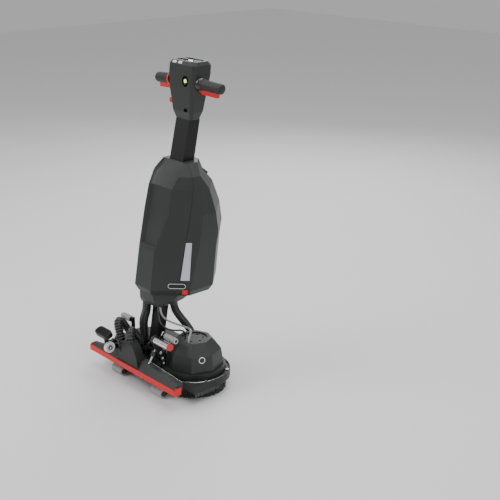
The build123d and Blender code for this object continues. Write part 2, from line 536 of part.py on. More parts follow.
def make_upright():
    """Neck column, pod shells, tank, battery and handle stem."""
    def column_ring(z, half_x, half_y):
        y = lean_y(PIVOT_Y, z)
        return [(half_x, y - half_y, z), (half_x, y + half_y, z),
                (-half_x, y + half_y, z), (-half_x, y - half_y, z)]
    column = stack([column_ring(PIVOT_Z + 8, 20, 12), column_ring(150, 20, 17),
                    column_ring(285, 20, 18)])
    column += cyl_x(KNUCKLE_R, -29.5, 29.5, PIVOT_Y, PIVOT_Z)
    column -= cyl_x(TILT_PIN_R + RUN, -40, 40, PIVOT_Y, PIVOT_Z)
    write(column, "neck_column")

    chin = pod(CHIN_LEVELS)
    inside = [shrink(level, WALL) for level in CHIN_LEVELS]
    inside[0] = (CHIN_LEVELS[0][0] + WALL, *shrink(CHIN_LEVELS[0], WALL)[1:])
    inside[-1] = (CHIN_LEVELS[-1][0] + 1, *inside[-1][1:])
    chin -= stack([pod_ring(*level) for level in inside])
    for route, radius in ((MAIN_HOSE, HOSE_R), (FRONT_HOSE, HOSE_R - 1)):
        x, y, z = route[-1] if route is MAIN_HOSE else route[0]
        chin -= cyl_z(radius - 4, z - 1, z + WALL + 1, x, y)
    write(chin, "chin_cover")

    vacuum = cyl_z(38, 292, 318, 0, 150) + cyl_z(30, 318, 329, 0, 150)
    vacuum -= cyl_z(10, 288, 300, 0, 150)
    write(vacuum, "vacuum_motor")

    outer = pod(POD_LEVELS)
    inner_levels = [shrink(level, WALL) for level in POD_LEVELS]
    inner_levels[0] = (POD_LEVELS[0][0] + WALL, *inner_levels[0][1:])
    inner_levels[-1] = (POD_LEVELS[-1][0] - WALL, *inner_levels[-1][1:])
    inner = stack([pod_ring(*level) for level in inner_levels])

    rear = (outer - scoop(0)) - (inner - scoop(WALL))
    rear &= half_space(-0.5, False)
    write(rear, "rear_shell")

    tank = (outer & half_space(0.5, True)) - (inner & half_space(0.5 + WALL, True))
    neck = Plane(origin=(-20, 322, 690), z_dir=(0, 0.62, 0.78))
    tank += extrude(neck.offset(-8) * Circle(26), 26)
    tank -= extrude(neck.offset(-30) * Circle(20), 70)
    window = window_plate(0.0, 3.0)
    tank -= window_plate(-6.0, 9.0)
    button_space = latch_block(-9.0, 14.0, GAP)
    tank -= button_space
    tank += latch_pocket()
    write(tank, "front_tank")
    write(window, "level_window")
    write(latch_block(-4.0, 8.5, 0.0), "tank_latch_button")

    cap = extrude(neck.offset(18.2) * Circle(29), 9)
    cap += extrude(neck.offset(4) * Circle(19), 14.2)
    for k in range(8):
        turn = math.radians(45 * k)
        grip = neck.offset(18.2) * Pos(29 * math.cos(turn), 29 * math.sin(turn)) * Circle(4)
        cap -= extrude(grip, 10)
    write(cap, "filler_cap")

    badge_at = chamfer_plane(105.0, 369.0)
    badge = extrude(badge_at * SlotOverall(64, 20), 2.0)
    write(badge, "blank_badge")

    pack = Box(112, 30, 128)
    pack = Pos(0, 115, 412) * Rot(-math.degrees(LEAN), 0, 0) * pack
    write(pack, "battery_pack")

    def stem_ring(z, half_x, half_y):
        y = 242 + (z - 765) * 30 / 135
        return [(half_x, y - half_y, z), (half_x, y + half_y, z),
                (-half_x, y + half_y, z), (-half_x, y - half_y, z)]
    stem = stack([stem_ring(765, 35, 24), stem_ring(900, 35, 22)])
    stem -= stack([stem_ring(764, 31, 20), stem_ring(901, 31, 18)])
    write(stem, "handle_stem")


def chamfer_plane(x, z):
    """Plane on the right rear corner facet of the pod, X along the facet."""
    y = x + 17 + FACET_SLOPE * (z - 341)
    normal = Vector(1, -1, FACET_SLOPE).normalized()
    return Plane(origin=(x, y, z), x_dir=(1, 1, 0), z_dir=normal)


def window_plate(low, thick):
    """Tapered sight strip let into the corner facet."""
    at = chamfer_plane(120.5, 452.0)
    outline = Polyline((-0.6, 64), (19, 64), (10, -64), (-20, -64), close=True)
    shape = extrude((at.offset(low - 1.2)) * make_face(outline), thick)
    return shape


def latch_block(low, thick, clear):
    """Red release button in the lower corner of the tank."""
    at = chamfer_plane(126.0, 350.0)
    return extrude(at.offset(low) * RectangleRounded(18 + 2 * clear, 16 + 2 * clear, 3), thick)


def latch_pocket():
    """Blind cup behind the release button."""
    at = chamfer_plane(126.0, 350.0)
    cup = extrude(at.offset(-12) * RectangleRounded(25, 23, 4), 11)
    return cup - extrude(at.offset(-9) * RectangleRounded(19, 17, 3), 12)


# ---------------------------------------------------------------- control head
HEAD_LEVELS = [  # z, half width, back flat, back y, front y, front flat
    (900, 42, 34, 250, 296, 30), (926, 53, 42, 243, 308, 36), (1000, 64, 52, 239, 320, 46),
    (1045, 69, 58, 242, 328, 52), (1078, 69, 58, 246, 331, 52), (1090, 62, 52, 253, 324, 46)]
HEAD_SPLIT, HEAD_TOP, BUTTON_Y = 290.0, 1090.0, 287.0
STATUS_AT, EYELET_AT = (26, 1022), (24, 932)
LEVER_PIN = (-50.5, 254, 954)


def head_back_y(z):
    """Y of the head's rear face at a height."""
    for low, high in zip(HEAD_LEVELS, HEAD_LEVELS[1:]):
        if low[0] <= z <= high[0]:
            share = (z - low[0]) / (high[0] - low[0])
            return low[3] + share * (high[3] - low[3])
    return HEAD_LEVELS[-1][3]


def grip_place(side):
    """Frame at a grip root, Z running out along the grip."""
    sweep_turn = math.radians(GRIP_SWEEP)
    along = (side * math.cos(sweep_turn), math.sin(sweep_turn), -GRIP_DROOP)
    return Plane(origin=(side * GRIP_IN, GRIP_Y, GRIP_Z), z_dir=along, x_dir=(0, 0, 1))


def make_head():
    """Control head: shells, panel, buttons, lamp, grips, triggers and release lever."""
    outer = pod(HEAD_LEVELS)
    inner_levels = [shrink(level, WALL) for level in HEAD_LEVELS]
    inner_levels[0] = (HEAD_LEVELS[0][0] + WALL, *inner_levels[0][1:])
    inner_levels[-1] = (HEAD_LEVELS[-1][0] - WALL, *inner_levels[-1][1:])
    shell = outer - stack([pod_ring(*level) for level in inner_levels])
    shell -= block(-46, 46, BUTTON_Y - 25, BUTTON_Y + 25, HEAD_TOP - 5, HEAD_TOP + 2)
    for side in (1, -1):
        shell -= extrude(grip_place(side).offset(-30) * Circle(13), 50)
        place = grip_place(side)
        shell -= extrude(place.offset(-8) * Pos(-20, 0) * Rectangle(16, 16), 22)
    rear_y = head_back_y(STATUS_AT[1])
    shell -= Pos(STATUS_AT[0], rear_y, STATUS_AT[1]) * Rot(90, 0, 0) * Cylinder(11, 30)
    rear_y = head_back_y(EYELET_AT[1])
    shell -= Pos(EYELET_AT[0], rear_y, EYELET_AT[1]) * Rot(90, 0, 0) * Cylinder(6, 30)
    shell -= block(-80, -46, 249, 259, 941, 967)
    rear = shell & block(-90, 90, 200, HEAD_SPLIT - 0.2, 890, 1100)
    rear += Pos(*LEVER_PIN) * Rot(90, 0, 0) * Cylinder(1.5, 14)
    for side in (1, -1):
        rear += grip_place(side) * Pos(-20, 0, 4) * Rot(90, 0, 0) * Cylinder(2, 15.9)
    write(rear, "head_rear_shell")
    write(shell & block(-90, 90, HEAD_SPLIT + 0.2, 400, 890, 1100), "head_front_shell")

    panel = block(-48, 48, BUTTON_Y - 29, BUTTON_Y + 29, HEAD_TOP - 9, HEAD_TOP - WALL)
    panel += block(-45.5, 45.5, BUTTON_Y - 24.5, BUTTON_Y + 24.5, HEAD_TOP - 9, HEAD_TOP - 3)
    for x in (-25, 25):
        panel -= cyl_z(9.5, HEAD_TOP - 10, HEAD_TOP, x, BUTTON_Y)
    write(panel, "control_panel")
    for name, x in (("power_button", -25), ("mode_button", 25)):
        button = cyl_z(9, HEAD_TOP - 8, HEAD_TOP + 0.5, x, BUTTON_Y)
        button += cyl_z(12, HEAD_TOP - 14, HEAD_TOP - 10, x, BUTTON_Y)
        button += cyl_z(7, HEAD_TOP - 11, HEAD_TOP - 7, x, BUTTON_Y)
        write(button, name)

    rear_y = head_back_y(STATUS_AT[1])
    lamp = Pos(STATUS_AT[0], rear_y + 4, STATUS_AT[1]) * Rot(90, 0, 0) * Cylinder(10.8, 4)
    lamp += Pos(STATUS_AT[0], rear_y + 1.5, STATUS_AT[1]) * Rot(90, 0, 0) * Cylinder(5, 5)
    write(lamp, "status_lamp")

    grips, collars = [], []
    for name, side in (("right", 1), ("left", -1)):
        place = grip_place(side)
        grip = extrude(place.offset(8) * Circle(GRIP_R), 83)
        grip -= extrude(place.offset(12) * Pos(-15.5, 0) * Rectangle(15, 15), 70)
        grips.append(grip + extrude(place.offset(-22) * Circle(10), 40))
        collar = extrude(place.offset(-0.5) * Circle(GRIP_R + 3), 8)
        collar -= extrude(place.offset(-2) * Circle(10), 11)
        collar -= extrude(place.offset(-2) * Pos(-20, 0) * Rectangle(16, 16), 11)
        collars.append(collar)
        trigger = extrude(place.offset(13) * Pos(-22.5, 0) * Rectangle(17, 13), 66)
        trigger += extrude(place.offset(4) * Pos(-21.5, 0) * Rectangle(7, 13), 10)
        trigger += place * Pos(-20, 0, 4) * Rot(90, 0, 0) * Cylinder(4.8, 13)
        trigger -= place * Pos(-20, 0, 4) * Rot(90, 0, 0) * Cylinder(2 + RUN, 20)
        write(trigger, f"trigger_{name}")
    write(Compound(grips), "grips")
    write(Compound(collars), "grip_collars")

    lever = block(-71, -47.5, 251, 257, 946, 962)
    lever -= Pos(*LEVER_PIN) * Rot(90, 0, 0) * Cylinder(1.5 + RUN, 20)
    write(lever, "release_lever")


def main():
    """Build and write every piece."""
    os.makedirs("parts", exist_ok=True)
    make_deck()
    make_covers()
    make_neck()
    make_pegs()
    make_rollers()
    make_brushes()
    make_pedal(make_squeegee())
    make_hoses()
    make_upright()
    make_head()


main()
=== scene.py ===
"""Visual model of a compact upright scrubber-dryer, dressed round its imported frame.

Every piece is placed in the frame's own metres. Sub-assemblies are classes that build their
meshes and dress them; finishes are frozen dataclasses that make their own materials.
"""
import logging
import math
import random
from dataclasses import dataclass, field
from enum import Enum
from functools import cached_property
from typing import Callable, Dict, List, Optional, Sequence, Tuple

import bmesh
import bpy
from mathutils import Matrix, Vector


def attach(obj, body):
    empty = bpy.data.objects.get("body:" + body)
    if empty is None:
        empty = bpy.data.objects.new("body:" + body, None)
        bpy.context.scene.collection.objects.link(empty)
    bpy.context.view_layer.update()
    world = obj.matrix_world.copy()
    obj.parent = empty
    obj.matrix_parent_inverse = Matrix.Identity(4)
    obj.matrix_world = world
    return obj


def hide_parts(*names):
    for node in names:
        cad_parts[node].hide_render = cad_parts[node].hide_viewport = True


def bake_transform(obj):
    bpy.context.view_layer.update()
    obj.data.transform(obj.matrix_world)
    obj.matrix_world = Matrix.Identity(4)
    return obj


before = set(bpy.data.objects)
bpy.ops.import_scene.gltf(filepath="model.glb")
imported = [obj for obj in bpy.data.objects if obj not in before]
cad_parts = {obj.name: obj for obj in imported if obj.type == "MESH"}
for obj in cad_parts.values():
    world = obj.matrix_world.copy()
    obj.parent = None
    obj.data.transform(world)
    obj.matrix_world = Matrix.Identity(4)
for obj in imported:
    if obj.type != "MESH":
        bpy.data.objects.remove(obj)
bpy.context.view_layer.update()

log = logging.getLogger("scrubber")

Colour = Tuple[float, float, float]
Point = Tuple[float, float, float]
Profile = List[Tuple[float, float]]
Ring = List[Vector]

MM = 1000                     # millimetres in a metre
SHIFT = 0.16561               # metres from the drawing's Y to the frame's Y
BRUSH_X, BRUSH_Y = 130.0, 177.0   # brush axes in drawing millimetres
WELD = 1e-6                   # points closer than this are one point, in metres


def at(x: float, y: float, z: float) -> Vector:
    """A drawing point in millimetres as a frame point in metres."""
    return Vector((x / MM, y / MM - SHIFT, z / MM))


class Body(Enum):
    """The frame's bodies that new pieces ride on."""

    FLOOR = "floor_head"
    SQUEEGEE = "squeegee"
    UPRIGHT = "upright"
    TANK = "tank"
    PEDAL = "pedal"
    BRUSH_RIGHT = "brush_right"
    BRUSH_LEFT = "brush_left"
    ROLLER_RIGHT = "rear_roller_right"
    ROLLER_LEFT = "rear_roller_left"


class Slot(Enum):
    """The record's material slots that new pieces use."""

    SHELL = "shell_charcoal"
    BLACK = "black_plastic"
    RED = "red_plastic"
    WHITE = "white_plastic"
    GREY = "grey_plastic"
    LAMP = "lamp_green"
    HOSE = "hose_rubber"
    ROLLER = "roller_grey"
    BRISTLE = "bristle"
    STEEL = "steel"


# ------------------------------------------------------------------ shared shader groups
FLOAT, COLOUR, VECTOR = "NodeSocketFloat", "NodeSocketColor", "NodeSocketVector"


def put(tree: bpy.types.NodeTree, kind: str, values: Optional[Dict[object, object]] = None,
        **settings: object) -> bpy.types.Node:
    """Add a shader node.

    Args:
        tree: the tree that it goes in.
        kind: node type after "ShaderNode".
        values: value of each named or numbered input.
        settings: the node's own settings, made before its inputs are set.

    Returns:
        The node.
    """
    node = tree.nodes.new(f"ShaderNode{kind}")
    for name, setting in settings.items():
        setattr(node, name, setting)
    for socket, value in (values or {}).items():
        node.inputs[socket].default_value = value
    return node


def wire(tree: bpy.types.NodeTree, *links: Tuple[bpy.types.Node, object, bpy.types.Node, object]
         ) -> None:
    """Link nodes.

    Args:
        tree: the tree that they are in.
        links: (from node, its output, to node, its input) of each link.
    """
    for source, output, target, socket in links:
        tree.links.new(source.outputs[output], target.inputs[socket])


class ShaderGroups:
    """Node groups that several finishes share, each made on first use."""

    @staticmethod
    def start(name: str, inputs: Sequence[Tuple[str, str, object]],
              outputs: Sequence[Tuple[str, str]]
              ) -> Tuple[bpy.types.NodeTree, bpy.types.Node, bpy.types.Node]:
        """Make an empty group with its sockets.

        Args:
            name: the group's name.
            inputs: (name, socket type, default) of each input.
            outputs: (name, socket type) of each output.

        Returns:
            The tree, its input node and its output node.
        """
        tree = bpy.data.node_groups.new(name, "ShaderNodeTree")
        for label, kind, default in inputs:
            socket = tree.interface.new_socket(name=label, in_out="INPUT", socket_type=kind)
            socket.default_value = default
        for label, kind in outputs:
            tree.interface.new_socket(name=label, in_out="OUTPUT", socket_type=kind)
        return tree, tree.nodes.new("NodeGroupInput"), tree.nodes.new("NodeGroupOutput")

    @cached_property
    def grain(self) -> bpy.types.NodeTree:
        """Moulded plastic grain.

        Returns:
            A group from Scale to Height, a fine leathery pebble with a slow swell under it.
        """
        tree, source, sink = self.start("Moulded grain", [("Scale", FLOAT, 900.0)],
                                        [("Height", FLOAT)])
        place = put(tree, "TexCoord")
        cells = put(tree, "TexVoronoi", feature="SMOOTH_F1")
        swell = put(tree, "TexNoise", {"Detail": 4.0})
        slower = put(tree, "Math", {1: 0.35}, operation="MULTIPLY")
        both = put(tree, "Math", operation="ADD")
        wire(tree, (place, "Object", cells, "Vector"), (place, "Object", swell, "Vector"),
             (source, "Scale", cells, "Scale"), (source, "Scale", slower, 0),
             (slower, 0, swell, "Scale"), (cells, "Distance", both, 0), (swell, "Fac", both, 1),
             (both, 0, sink, "Height"))
        return tree

    @cached_property
    def edge_wear(self) -> bpy.types.NodeTree:
        """Rubbed edges.

        Returns:
            A group from Radius and Break-up to Mask, 1 on worn edges, and to the softened Normal.
        """
        tree, source, sink = self.start(
            "Edge wear", [("Radius", FLOAT, 0.0015), ("Break-up", FLOAT, 60.0)],
            [("Mask", FLOAT), ("Normal", VECTOR)])
        bevel = put(tree, "Bevel", samples=6)
        shape = put(tree, "NewGeometry")
        facing = put(tree, "VectorMath", operation="DOT_PRODUCT")
        turn = put(tree, "MapRange", {"From Min": 0.995, "From Max": 0.90})
        place = put(tree, "TexCoord")
        noise = put(tree, "TexNoise", {"Detail": 6.0})
        patches = put(tree, "MapRange", {"From Min": 0.38, "From Max": 0.62})
        mask = put(tree, "Math", operation="MULTIPLY")
        wire(tree, (source, "Radius", bevel, "Radius"), (bevel, "Normal", facing, 0),
             (shape, "Normal", facing, 1), (facing, "Value", turn, "Value"),
             (place, "Object", noise, "Vector"), (source, "Break-up", noise, "Scale"),
             (noise, "Fac", patches, "Value"), (turn, "Result", mask, 0),
             (patches, "Result", mask, 1), (mask, 0, sink, "Mask"),
             (bevel, "Normal", sink, "Normal"))
        return tree

    @cached_property
    def tone(self) -> bpy.types.NodeTree:
        """Slow drift of a colour over a surface.

        Returns:
            A group from Colour, Scale and Spread to the drifted Colour and a Smudge mask.
        """
        tree, source, sink = self.start(
            "Tone drift", [("Colour", COLOUR, (0.5, 0.5, 0.5, 1.0)), ("Scale", FLOAT, 9.0),
                           ("Spread", FLOAT, 0.12)],
            [("Colour", COLOUR), ("Smudge", FLOAT)])
        place = put(tree, "TexCoord")
        noise = put(tree, "TexNoise", {"Detail": 5.0})
        centred = put(tree, "Math", {1: 0.5}, operation="SUBTRACT")
        spread = put(tree, "Math", operation="MULTIPLY")
        value = put(tree, "Math", {1: 1.0}, operation="ADD")
        shade = put(tree, "HueSaturation")
        wire(tree, (place, "Object", noise, "Vector"), (source, "Scale", noise, "Scale"),
             (noise, "Fac", centred, 0), (centred, 0, spread, 0), (source, "Spread", spread, 1),
             (spread, 0, value, 0), (value, 0, shade, "Value"), (source, "Colour", shade, "Color"),
             (shade, "Color", sink, "Colour"), (noise, "Fac", sink, "Smudge"))
        return tree

    @cached_property
    def dust(self) -> bpy.types.NodeTree:
        """Dust that settles on faces that look up.

        Returns:
            A group from Amount to Mask.
        """
        tree, source, sink = self.start("Settled dust", [("Amount", FLOAT, 0.2)],
                                        [("Mask", FLOAT)])
        shape = put(tree, "NewGeometry")
        split = put(tree, "SeparateXYZ")
        up = put(tree, "MapRange", {"From Min": 0.2})
        place = put(tree, "TexCoord")
        noise = put(tree, "TexNoise", {"Scale": 14.0, "Detail": 8.0})
        patch = put(tree, "Math", operation="MULTIPLY")
        scaled = put(tree, "Math", operation="MULTIPLY")
        wire(tree, (shape, "Normal", split, 0), (split, "Z", up, "Value"),
             (place, "Object", noise, "Vector"), (up, "Result", patch, 0),
             (noise, "Fac", patch, 1), (patch, 0, scaled, 0), (source, "Amount", scaled, 1),
             (scaled, 0, sink, "Mask"))
        return tree


GROUPS = ShaderGroups()


# ------------------------------------------------------------------ finishes
DUST_COLOUR = (0.42, 0.41, 0.39, 1.0)
ROUGH_DRIFT = 0.07            # how far roughness drifts either side of its middle
GRAIN_HEIGHT = 0.0006         # full height of the grain in metres


@dataclass(frozen=True)
class Finish:
    """A material built from the shared groups.

    Attributes:
        name: material name.
        colour: linear base colour.
        rough: middle roughness.
        metal: metallic share.
        coat: clear coat weight.
        grain: grain cells per metre.
        grain_depth: bump strength of the grain.
        edge: colour where edges are rubbed.
        edge_share: how much of that colour shows.
        edge_radius: width of the softened edge, in metres.
        dust: amount of settled dust.
        spread: drift of the colour over the surface.
        glow: emission strength.
        clear: transmission weight.
        shine: strength of plain reflections.
    """

    name: str
    colour: Colour
    rough: float = 0.5
    metal: float = 0.0
    coat: float = 0.0
    grain: float = 900.0
    grain_depth: float = 0.12
    edge: Colour = (0.2, 0.2, 0.2)
    edge_share: float = 0.35
    edge_radius: float = 0.0012
    dust: float = 0.06
    spread: float = 0.14
    glow: float = 0.0
    clear: float = 0.0
    shine: float = 0.5

    def material(self) -> bpy.types.Material:
        """The finish as a material, made on first use.

        Returns:
            The material.
        """
        found = bpy.data.materials.get(self.name)
        if found:
            return found
        made = bpy.data.materials.new(self.name)
        made.use_nodes = True
        tree = made.node_tree
        shader = tree.nodes["Principled BSDF"]
        tone = put(tree, "Group", {"Colour": (*self.colour, 1.0), "Spread": self.spread},
                   node_tree=GROUPS.tone)
        wear = put(tree, "Group", {"Radius": self.edge_radius}, node_tree=GROUPS.edge_wear)
        dust = put(tree, "Group", {"Amount": self.dust}, node_tree=GROUPS.dust)
        grain = put(tree, "Group", {"Scale": self.grain}, node_tree=GROUPS.grain)
        share = put(tree, "Math", {1: self.edge_share}, operation="MULTIPLY")
        rubbed = put(tree, "Mix", {"B": (*self.edge, 1.0)}, data_type="RGBA")
        dusty = put(tree, "Mix", {"B": DUST_COLOUR}, data_type="RGBA")
        bump = put(tree, "Bump", {"Strength": self.grain_depth, "Distance": GRAIN_HEIGHT})
        drift = put(tree, "MapRange", {"To Min": max(0.02, self.rough - ROUGH_DRIFT),
                                       "To Max": min(1.0, self.rough + ROUGH_DRIFT)})
        wire(tree, (wear, "Mask", share, 0), (share, 0, rubbed, "Factor"),
             (tone, "Colour", rubbed, "A"), (rubbed, "Result", dusty, "A"),
             (dust, "Mask", dusty, "Factor"), (dusty, "Result", shader, "Base Color"),
             (tone, "Smudge", drift, "Value"), (drift, "Result", shader, "Roughness"),
             (grain, "Height", bump, "Height"), (wear, "Normal", bump, "Normal"),
             (bump, "Normal", shader, "Normal"))
        for socket, value in (("Metallic", self.metal), ("Coat Weight", self.coat),
                              ("Transmission Weight", self.clear),
                              ("Specular IOR Level", self.shine)):
            shader.inputs[socket].default_value = value
        if self.glow:
            shader.inputs["Emission Color"].default_value = (*self.colour, 1.0)
            shader.inputs["Emission Strength"].default_value = self.glow
        return made


SHELL = Finish("Charcoal moulded shell", (0.030, 0.033, 0.032), rough=0.42, grain=1500.0,
               grain_depth=0.10, edge=(0.13, 0.135, 0.13), edge_share=0.30, shine=0.32)
SHELL_DARK = Finish("Darker moulded shell", (0.017, 0.019, 0.018), rough=0.42, grain=1500.0,
                    edge=(0.10, 0.10, 0.10), edge_share=0.30, shine=0.3)
BLACK = Finish("Black moulded fittings", (0.008, 0.008, 0.009), rough=0.42, grain=1100.0,
               edge=(0.08, 0.08, 0.08), edge_share=0.4, shine=0.35)
GLOSS_BLACK = Finish("Polished black plastic", (0.010, 0.010, 0.011), rough=0.16, coat=0.5,
                     grain_depth=0.03, edge=(0.2, 0.2, 0.2))
# Near-black, almost unreflecting finish for the lamp and eyelet bezels: darker and duller than
# black plastic, it paints the shade inside their recesses.
RECESS_SHADE = Finish("Matt black painted recess shade", (0.002, 0.002, 0.002), rough=0.85, edge=(0.01, 0.01, 0.01),
                dust=0.0, shine=0.08)
GRIP = Finish("Soft grip rubber", (0.016, 0.016, 0.017), rough=0.60, grain=700.0,
              grain_depth=0.30, edge=(0.06, 0.06, 0.06), dust=0.10)
HOSE = Finish("Ribbed hose rubber", (0.014, 0.014, 0.015), rough=0.36, coat=0.15, grain=1200.0,
              grain_depth=0.06, edge=(0.10, 0.10, 0.10), edge_share=0.25, dust=0.10)
RED = Finish("Red moulded plastic", (0.62, 0.002, 0.004), rough=0.30, coat=0.25, grain=1600.0,
             grain_depth=0.05, edge=(0.80, 0.05, 0.05), edge_share=0.3, dust=0.0)
BLADE = Finish("Red blade rubber", (0.64, 0.004, 0.005), rough=0.40, grain=500.0,
               grain_depth=0.12, edge=(0.85, 0.10, 0.08), edge_share=0.35, dust=0.0)
WHITE = Finish("White moulded plastic", (0.78, 0.78, 0.78), rough=0.32, coat=0.1, grain=1600.0,
               grain_depth=0.05, edge=(0.9, 0.9, 0.9), dust=0.05, spread=0.05)
LABEL = Finish("Light label film", (0.62, 0.63, 0.63), rough=0.38, grain_depth=0.02,
               edge=(0.8, 0.8, 0.8), spread=0.04)
GREY = Finish("Grey gear plastic", (0.34, 0.35, 0.35), rough=0.45, edge=(0.5, 0.5, 0.5))
ROLLER = Finish("Grey roller rubber", (0.46, 0.47, 0.47), rough=0.62, grain=600.0,
                grain_depth=0.25, edge=(0.6, 0.6, 0.6), dust=0.12)
FRINGE = Finish("Grey brush fringe", (0.075, 0.076, 0.078), rough=0.5, grain=2200.0,
                grain_depth=0.2, edge=(0.2, 0.2, 0.2), dust=0.1)
BRISTLE = Finish("Black brush fibre", (0.020, 0.020, 0.021), rough=0.55, grain=2200.0,
                 grain_depth=0.25, edge=(0.10, 0.10, 0.10), dust=0.12)
STEEL = Finish("Bright machined steel", (0.58, 0.58, 0.60), rough=0.24, metal=1.0, grain=2600.0,
               grain_depth=0.08, edge=(0.8, 0.8, 0.8), spread=0.10)
ALLOY = Finish("Polished aluminium", (0.80, 0.80, 0.81), rough=0.20, metal=1.0, grain=3000.0,
               grain_depth=0.05, edge=(0.95, 0.95, 0.95), spread=0.06)
PAINT = Finish("Satin black paint", (0.014, 0.014, 0.015), rough=0.34, coat=0.2, grain=900.0,
               grain_depth=0.08, edge=(0.25, 0.25, 0.25), edge_share=0.5)
WINDOW = Finish("Frosted level window", (0.66, 0.67, 0.76), rough=0.22, coat=0.4, grain=300.0,
                grain_depth=0.04, edge=(0.85, 0.85, 0.92), spread=0.16, clear=0.25, dust=0.0)
TUBE = Finish("Smoked clear tube", (0.40, 0.41, 0.42), rough=0.16, coat=0.5, grain=600.0,
              grain_depth=0.03, edge=(0.7, 0.7, 0.7), clear=0.3, dust=0.0)
LAMP = Finish("Lit green lens", (0.62, 0.80, 0.12), rough=0.15, coat=0.6, grain_depth=0.02,
              edge=(0.9, 1.0, 0.5), glow=2.2, dust=0.0)


# ------------------------------------------------------------------ mesh building
@dataclass
class Piece:
    """One new mesh on its way to the frame.

    Attributes:
        name: piece name.
        body: body that it rides on.
        finish: its material.
        slot: the record's slot it answers to; not used.
        stands_for: CAD nodes that it replaces.
        loose: it is left free of every body instead of riding on one.
    """

    name: str
    body: Body
    finish: Finish
    slot: Slot
    stands_for: Tuple[str, ...] = ()
    loose: bool = False

    def from_bmesh(self, made: bmesh.types.BMesh, smooth: float = 35.0) -> bpy.types.Object:
        """Turn a bmesh into the dressed object that rides on its body.

        Args:
            made: the mesh; it is freed.
            smooth: edges sharper than this many degrees stay sharp.

        Returns:
            The object.
        """
        bmesh.ops.remove_doubles(made, verts=made.verts, dist=WELD)
        bmesh.ops.recalc_face_normals(made, faces=made.faces)
        for face in made.faces:
            face.smooth = True
        for edge in made.edges:
            if len(edge.link_faces) == 2 and edge.calc_face_angle(0.0) > math.radians(smooth):
                edge.smooth = False
        mesh = bpy.data.meshes.new(self.name)
        made.to_mesh(mesh)
        made.free()
        return self.from_mesh(mesh)

    def from_mesh(self, mesh: bpy.types.Mesh) -> bpy.types.Object:
        """Dress a finished mesh and hand it to the frame.

        Args:
            mesh: the mesh in frame metres.

        Returns:
            The object.
        """
        piece = bpy.data.objects.new(self.name, mesh)
        bpy.context.scene.collection.objects.link(piece)
        mesh.materials.clear()
        mesh.materials.append(self.finish.material())
        if self.stands_for:
            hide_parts(*self.stands_for)
        if not self.loose:
            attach(piece, self.body.value)
        return piece


def loop_rings(rings: Sequence[Ring], closed_ends: bool = True,
               joined: bool = False) -> bmesh.types.BMesh:
    """Skin rings of equal count.

    Args:
        rings: rings of points, in order.
        closed_ends: cap the first and last ring.
        joined: skin the last ring back to the first.

    Returns:
        The bmesh.
    """
    made = bmesh.new()
    rows = [[made.verts.new(point) for point in ring] for ring in rings]
    pairs = list(zip(rows, rows[1:])) + ([(rows[-1], rows[0])] if joined else [])
    for low, high in pairs:
        count = len(low)
        for i in range(count):
            j = (i + 1) % count
            made.faces.new((low[i], low[j], high[j], high[i]))
    if closed_ends and not joined:
        made.faces.new(rows[0][::-1])
        made.faces.new(rows[-1])
    return made


def lathe(profile: Profile, place: Matrix, segments: int = 40,
          joined: bool = False) -> bmesh.types.BMesh:
    """Turn a profile about a local Z axis.

    Args:
        profile: (radius, height) points in metres.
        place: where the axis stands.
        segments: points round.
        joined: the profile is a closed loop, such as a ring's section.

    Returns:
        The bmesh in frame metres.
    """
    rings = []
    for radius, height in profile:
        turns = [2 * math.pi * k / segments for k in range(segments)]
        rings.append([place @ Vector((radius * math.cos(t), radius * math.sin(t), height))
                      for t in turns])
    return loop_rings(rings, closed_ends=not joined, joined=joined)


def frame_on(origin: Vector, normal: Vector, along: Vector = Vector((0, 0, 1))) -> Matrix:
    """Local frame at a point.

    Args:
        origin: the point.
        normal: the local Z.
        along: a direction that local X leans to.

    Returns:
        The matrix.
    """
    z = normal.normalized()
    x = (along - z * along.dot(z)).normalized()
    y = z.cross(x)
    turned = Matrix((x, y, z)).transposed().to_4x4()
    return Matrix.Translation(origin) @ turned


def merge(target: bmesh.types.BMesh, extra: bmesh.types.BMesh) -> None:
    """Add one bmesh to another and free it.

    Args:
        target: receives the faces.
        extra: is copied and freed.
    """
    scratch = bpy.data.meshes.new("scratch")
    extra.to_mesh(scratch)
    extra.free()
    target.from_mesh(scratch)
    bpy.data.meshes.remove(scratch)


def smooth_route(points: Sequence[Point], step: float) -> List[Vector]:
    """Evenly spaced points along a hose's smooth line.

    Args:
        points: the route's control points, in frame metres.
        step: spacing.

    Returns:
        Points along the line, first and last included.
    """
    curve = bpy.data.curves.new("route", "CURVE")
    curve.dimensions = "3D"
    spline = curve.splines.new("NURBS")
    spline.points.add(len(points) - 1)
    for knot, point in zip(spline.points, points):
        knot.co = (*point, 1.0)
    spline.order_u = 3
    spline.use_endpoint_u = True
    spline.resolution_u = 24
    holder = bpy.data.objects.new("route", curve)
    bpy.context.scene.collection.objects.link(holder)
    line = bpy.data.meshes.new_from_object(holder)
    dense = [v.co.copy() for v in line.vertices]
    bpy.data.objects.remove(holder)
    bpy.data.curves.remove(curve)
    bpy.data.meshes.remove(line)
    reach = [0.0]
    for a, b in zip(dense, dense[1:]):
        reach.append(reach[-1] + (b - a).length)
    count = max(2, round(reach[-1] / step))
    found, k = [], 0
    for n in range(count + 1):
        want = reach[-1] * n / count
        while k < len(reach) - 2 and reach[k + 1] < want:
            k += 1
        span = max(reach[k + 1] - reach[k], 1e-9)
        found.append(dense[k].lerp(dense[k + 1], (want - reach[k]) / span))
    return found


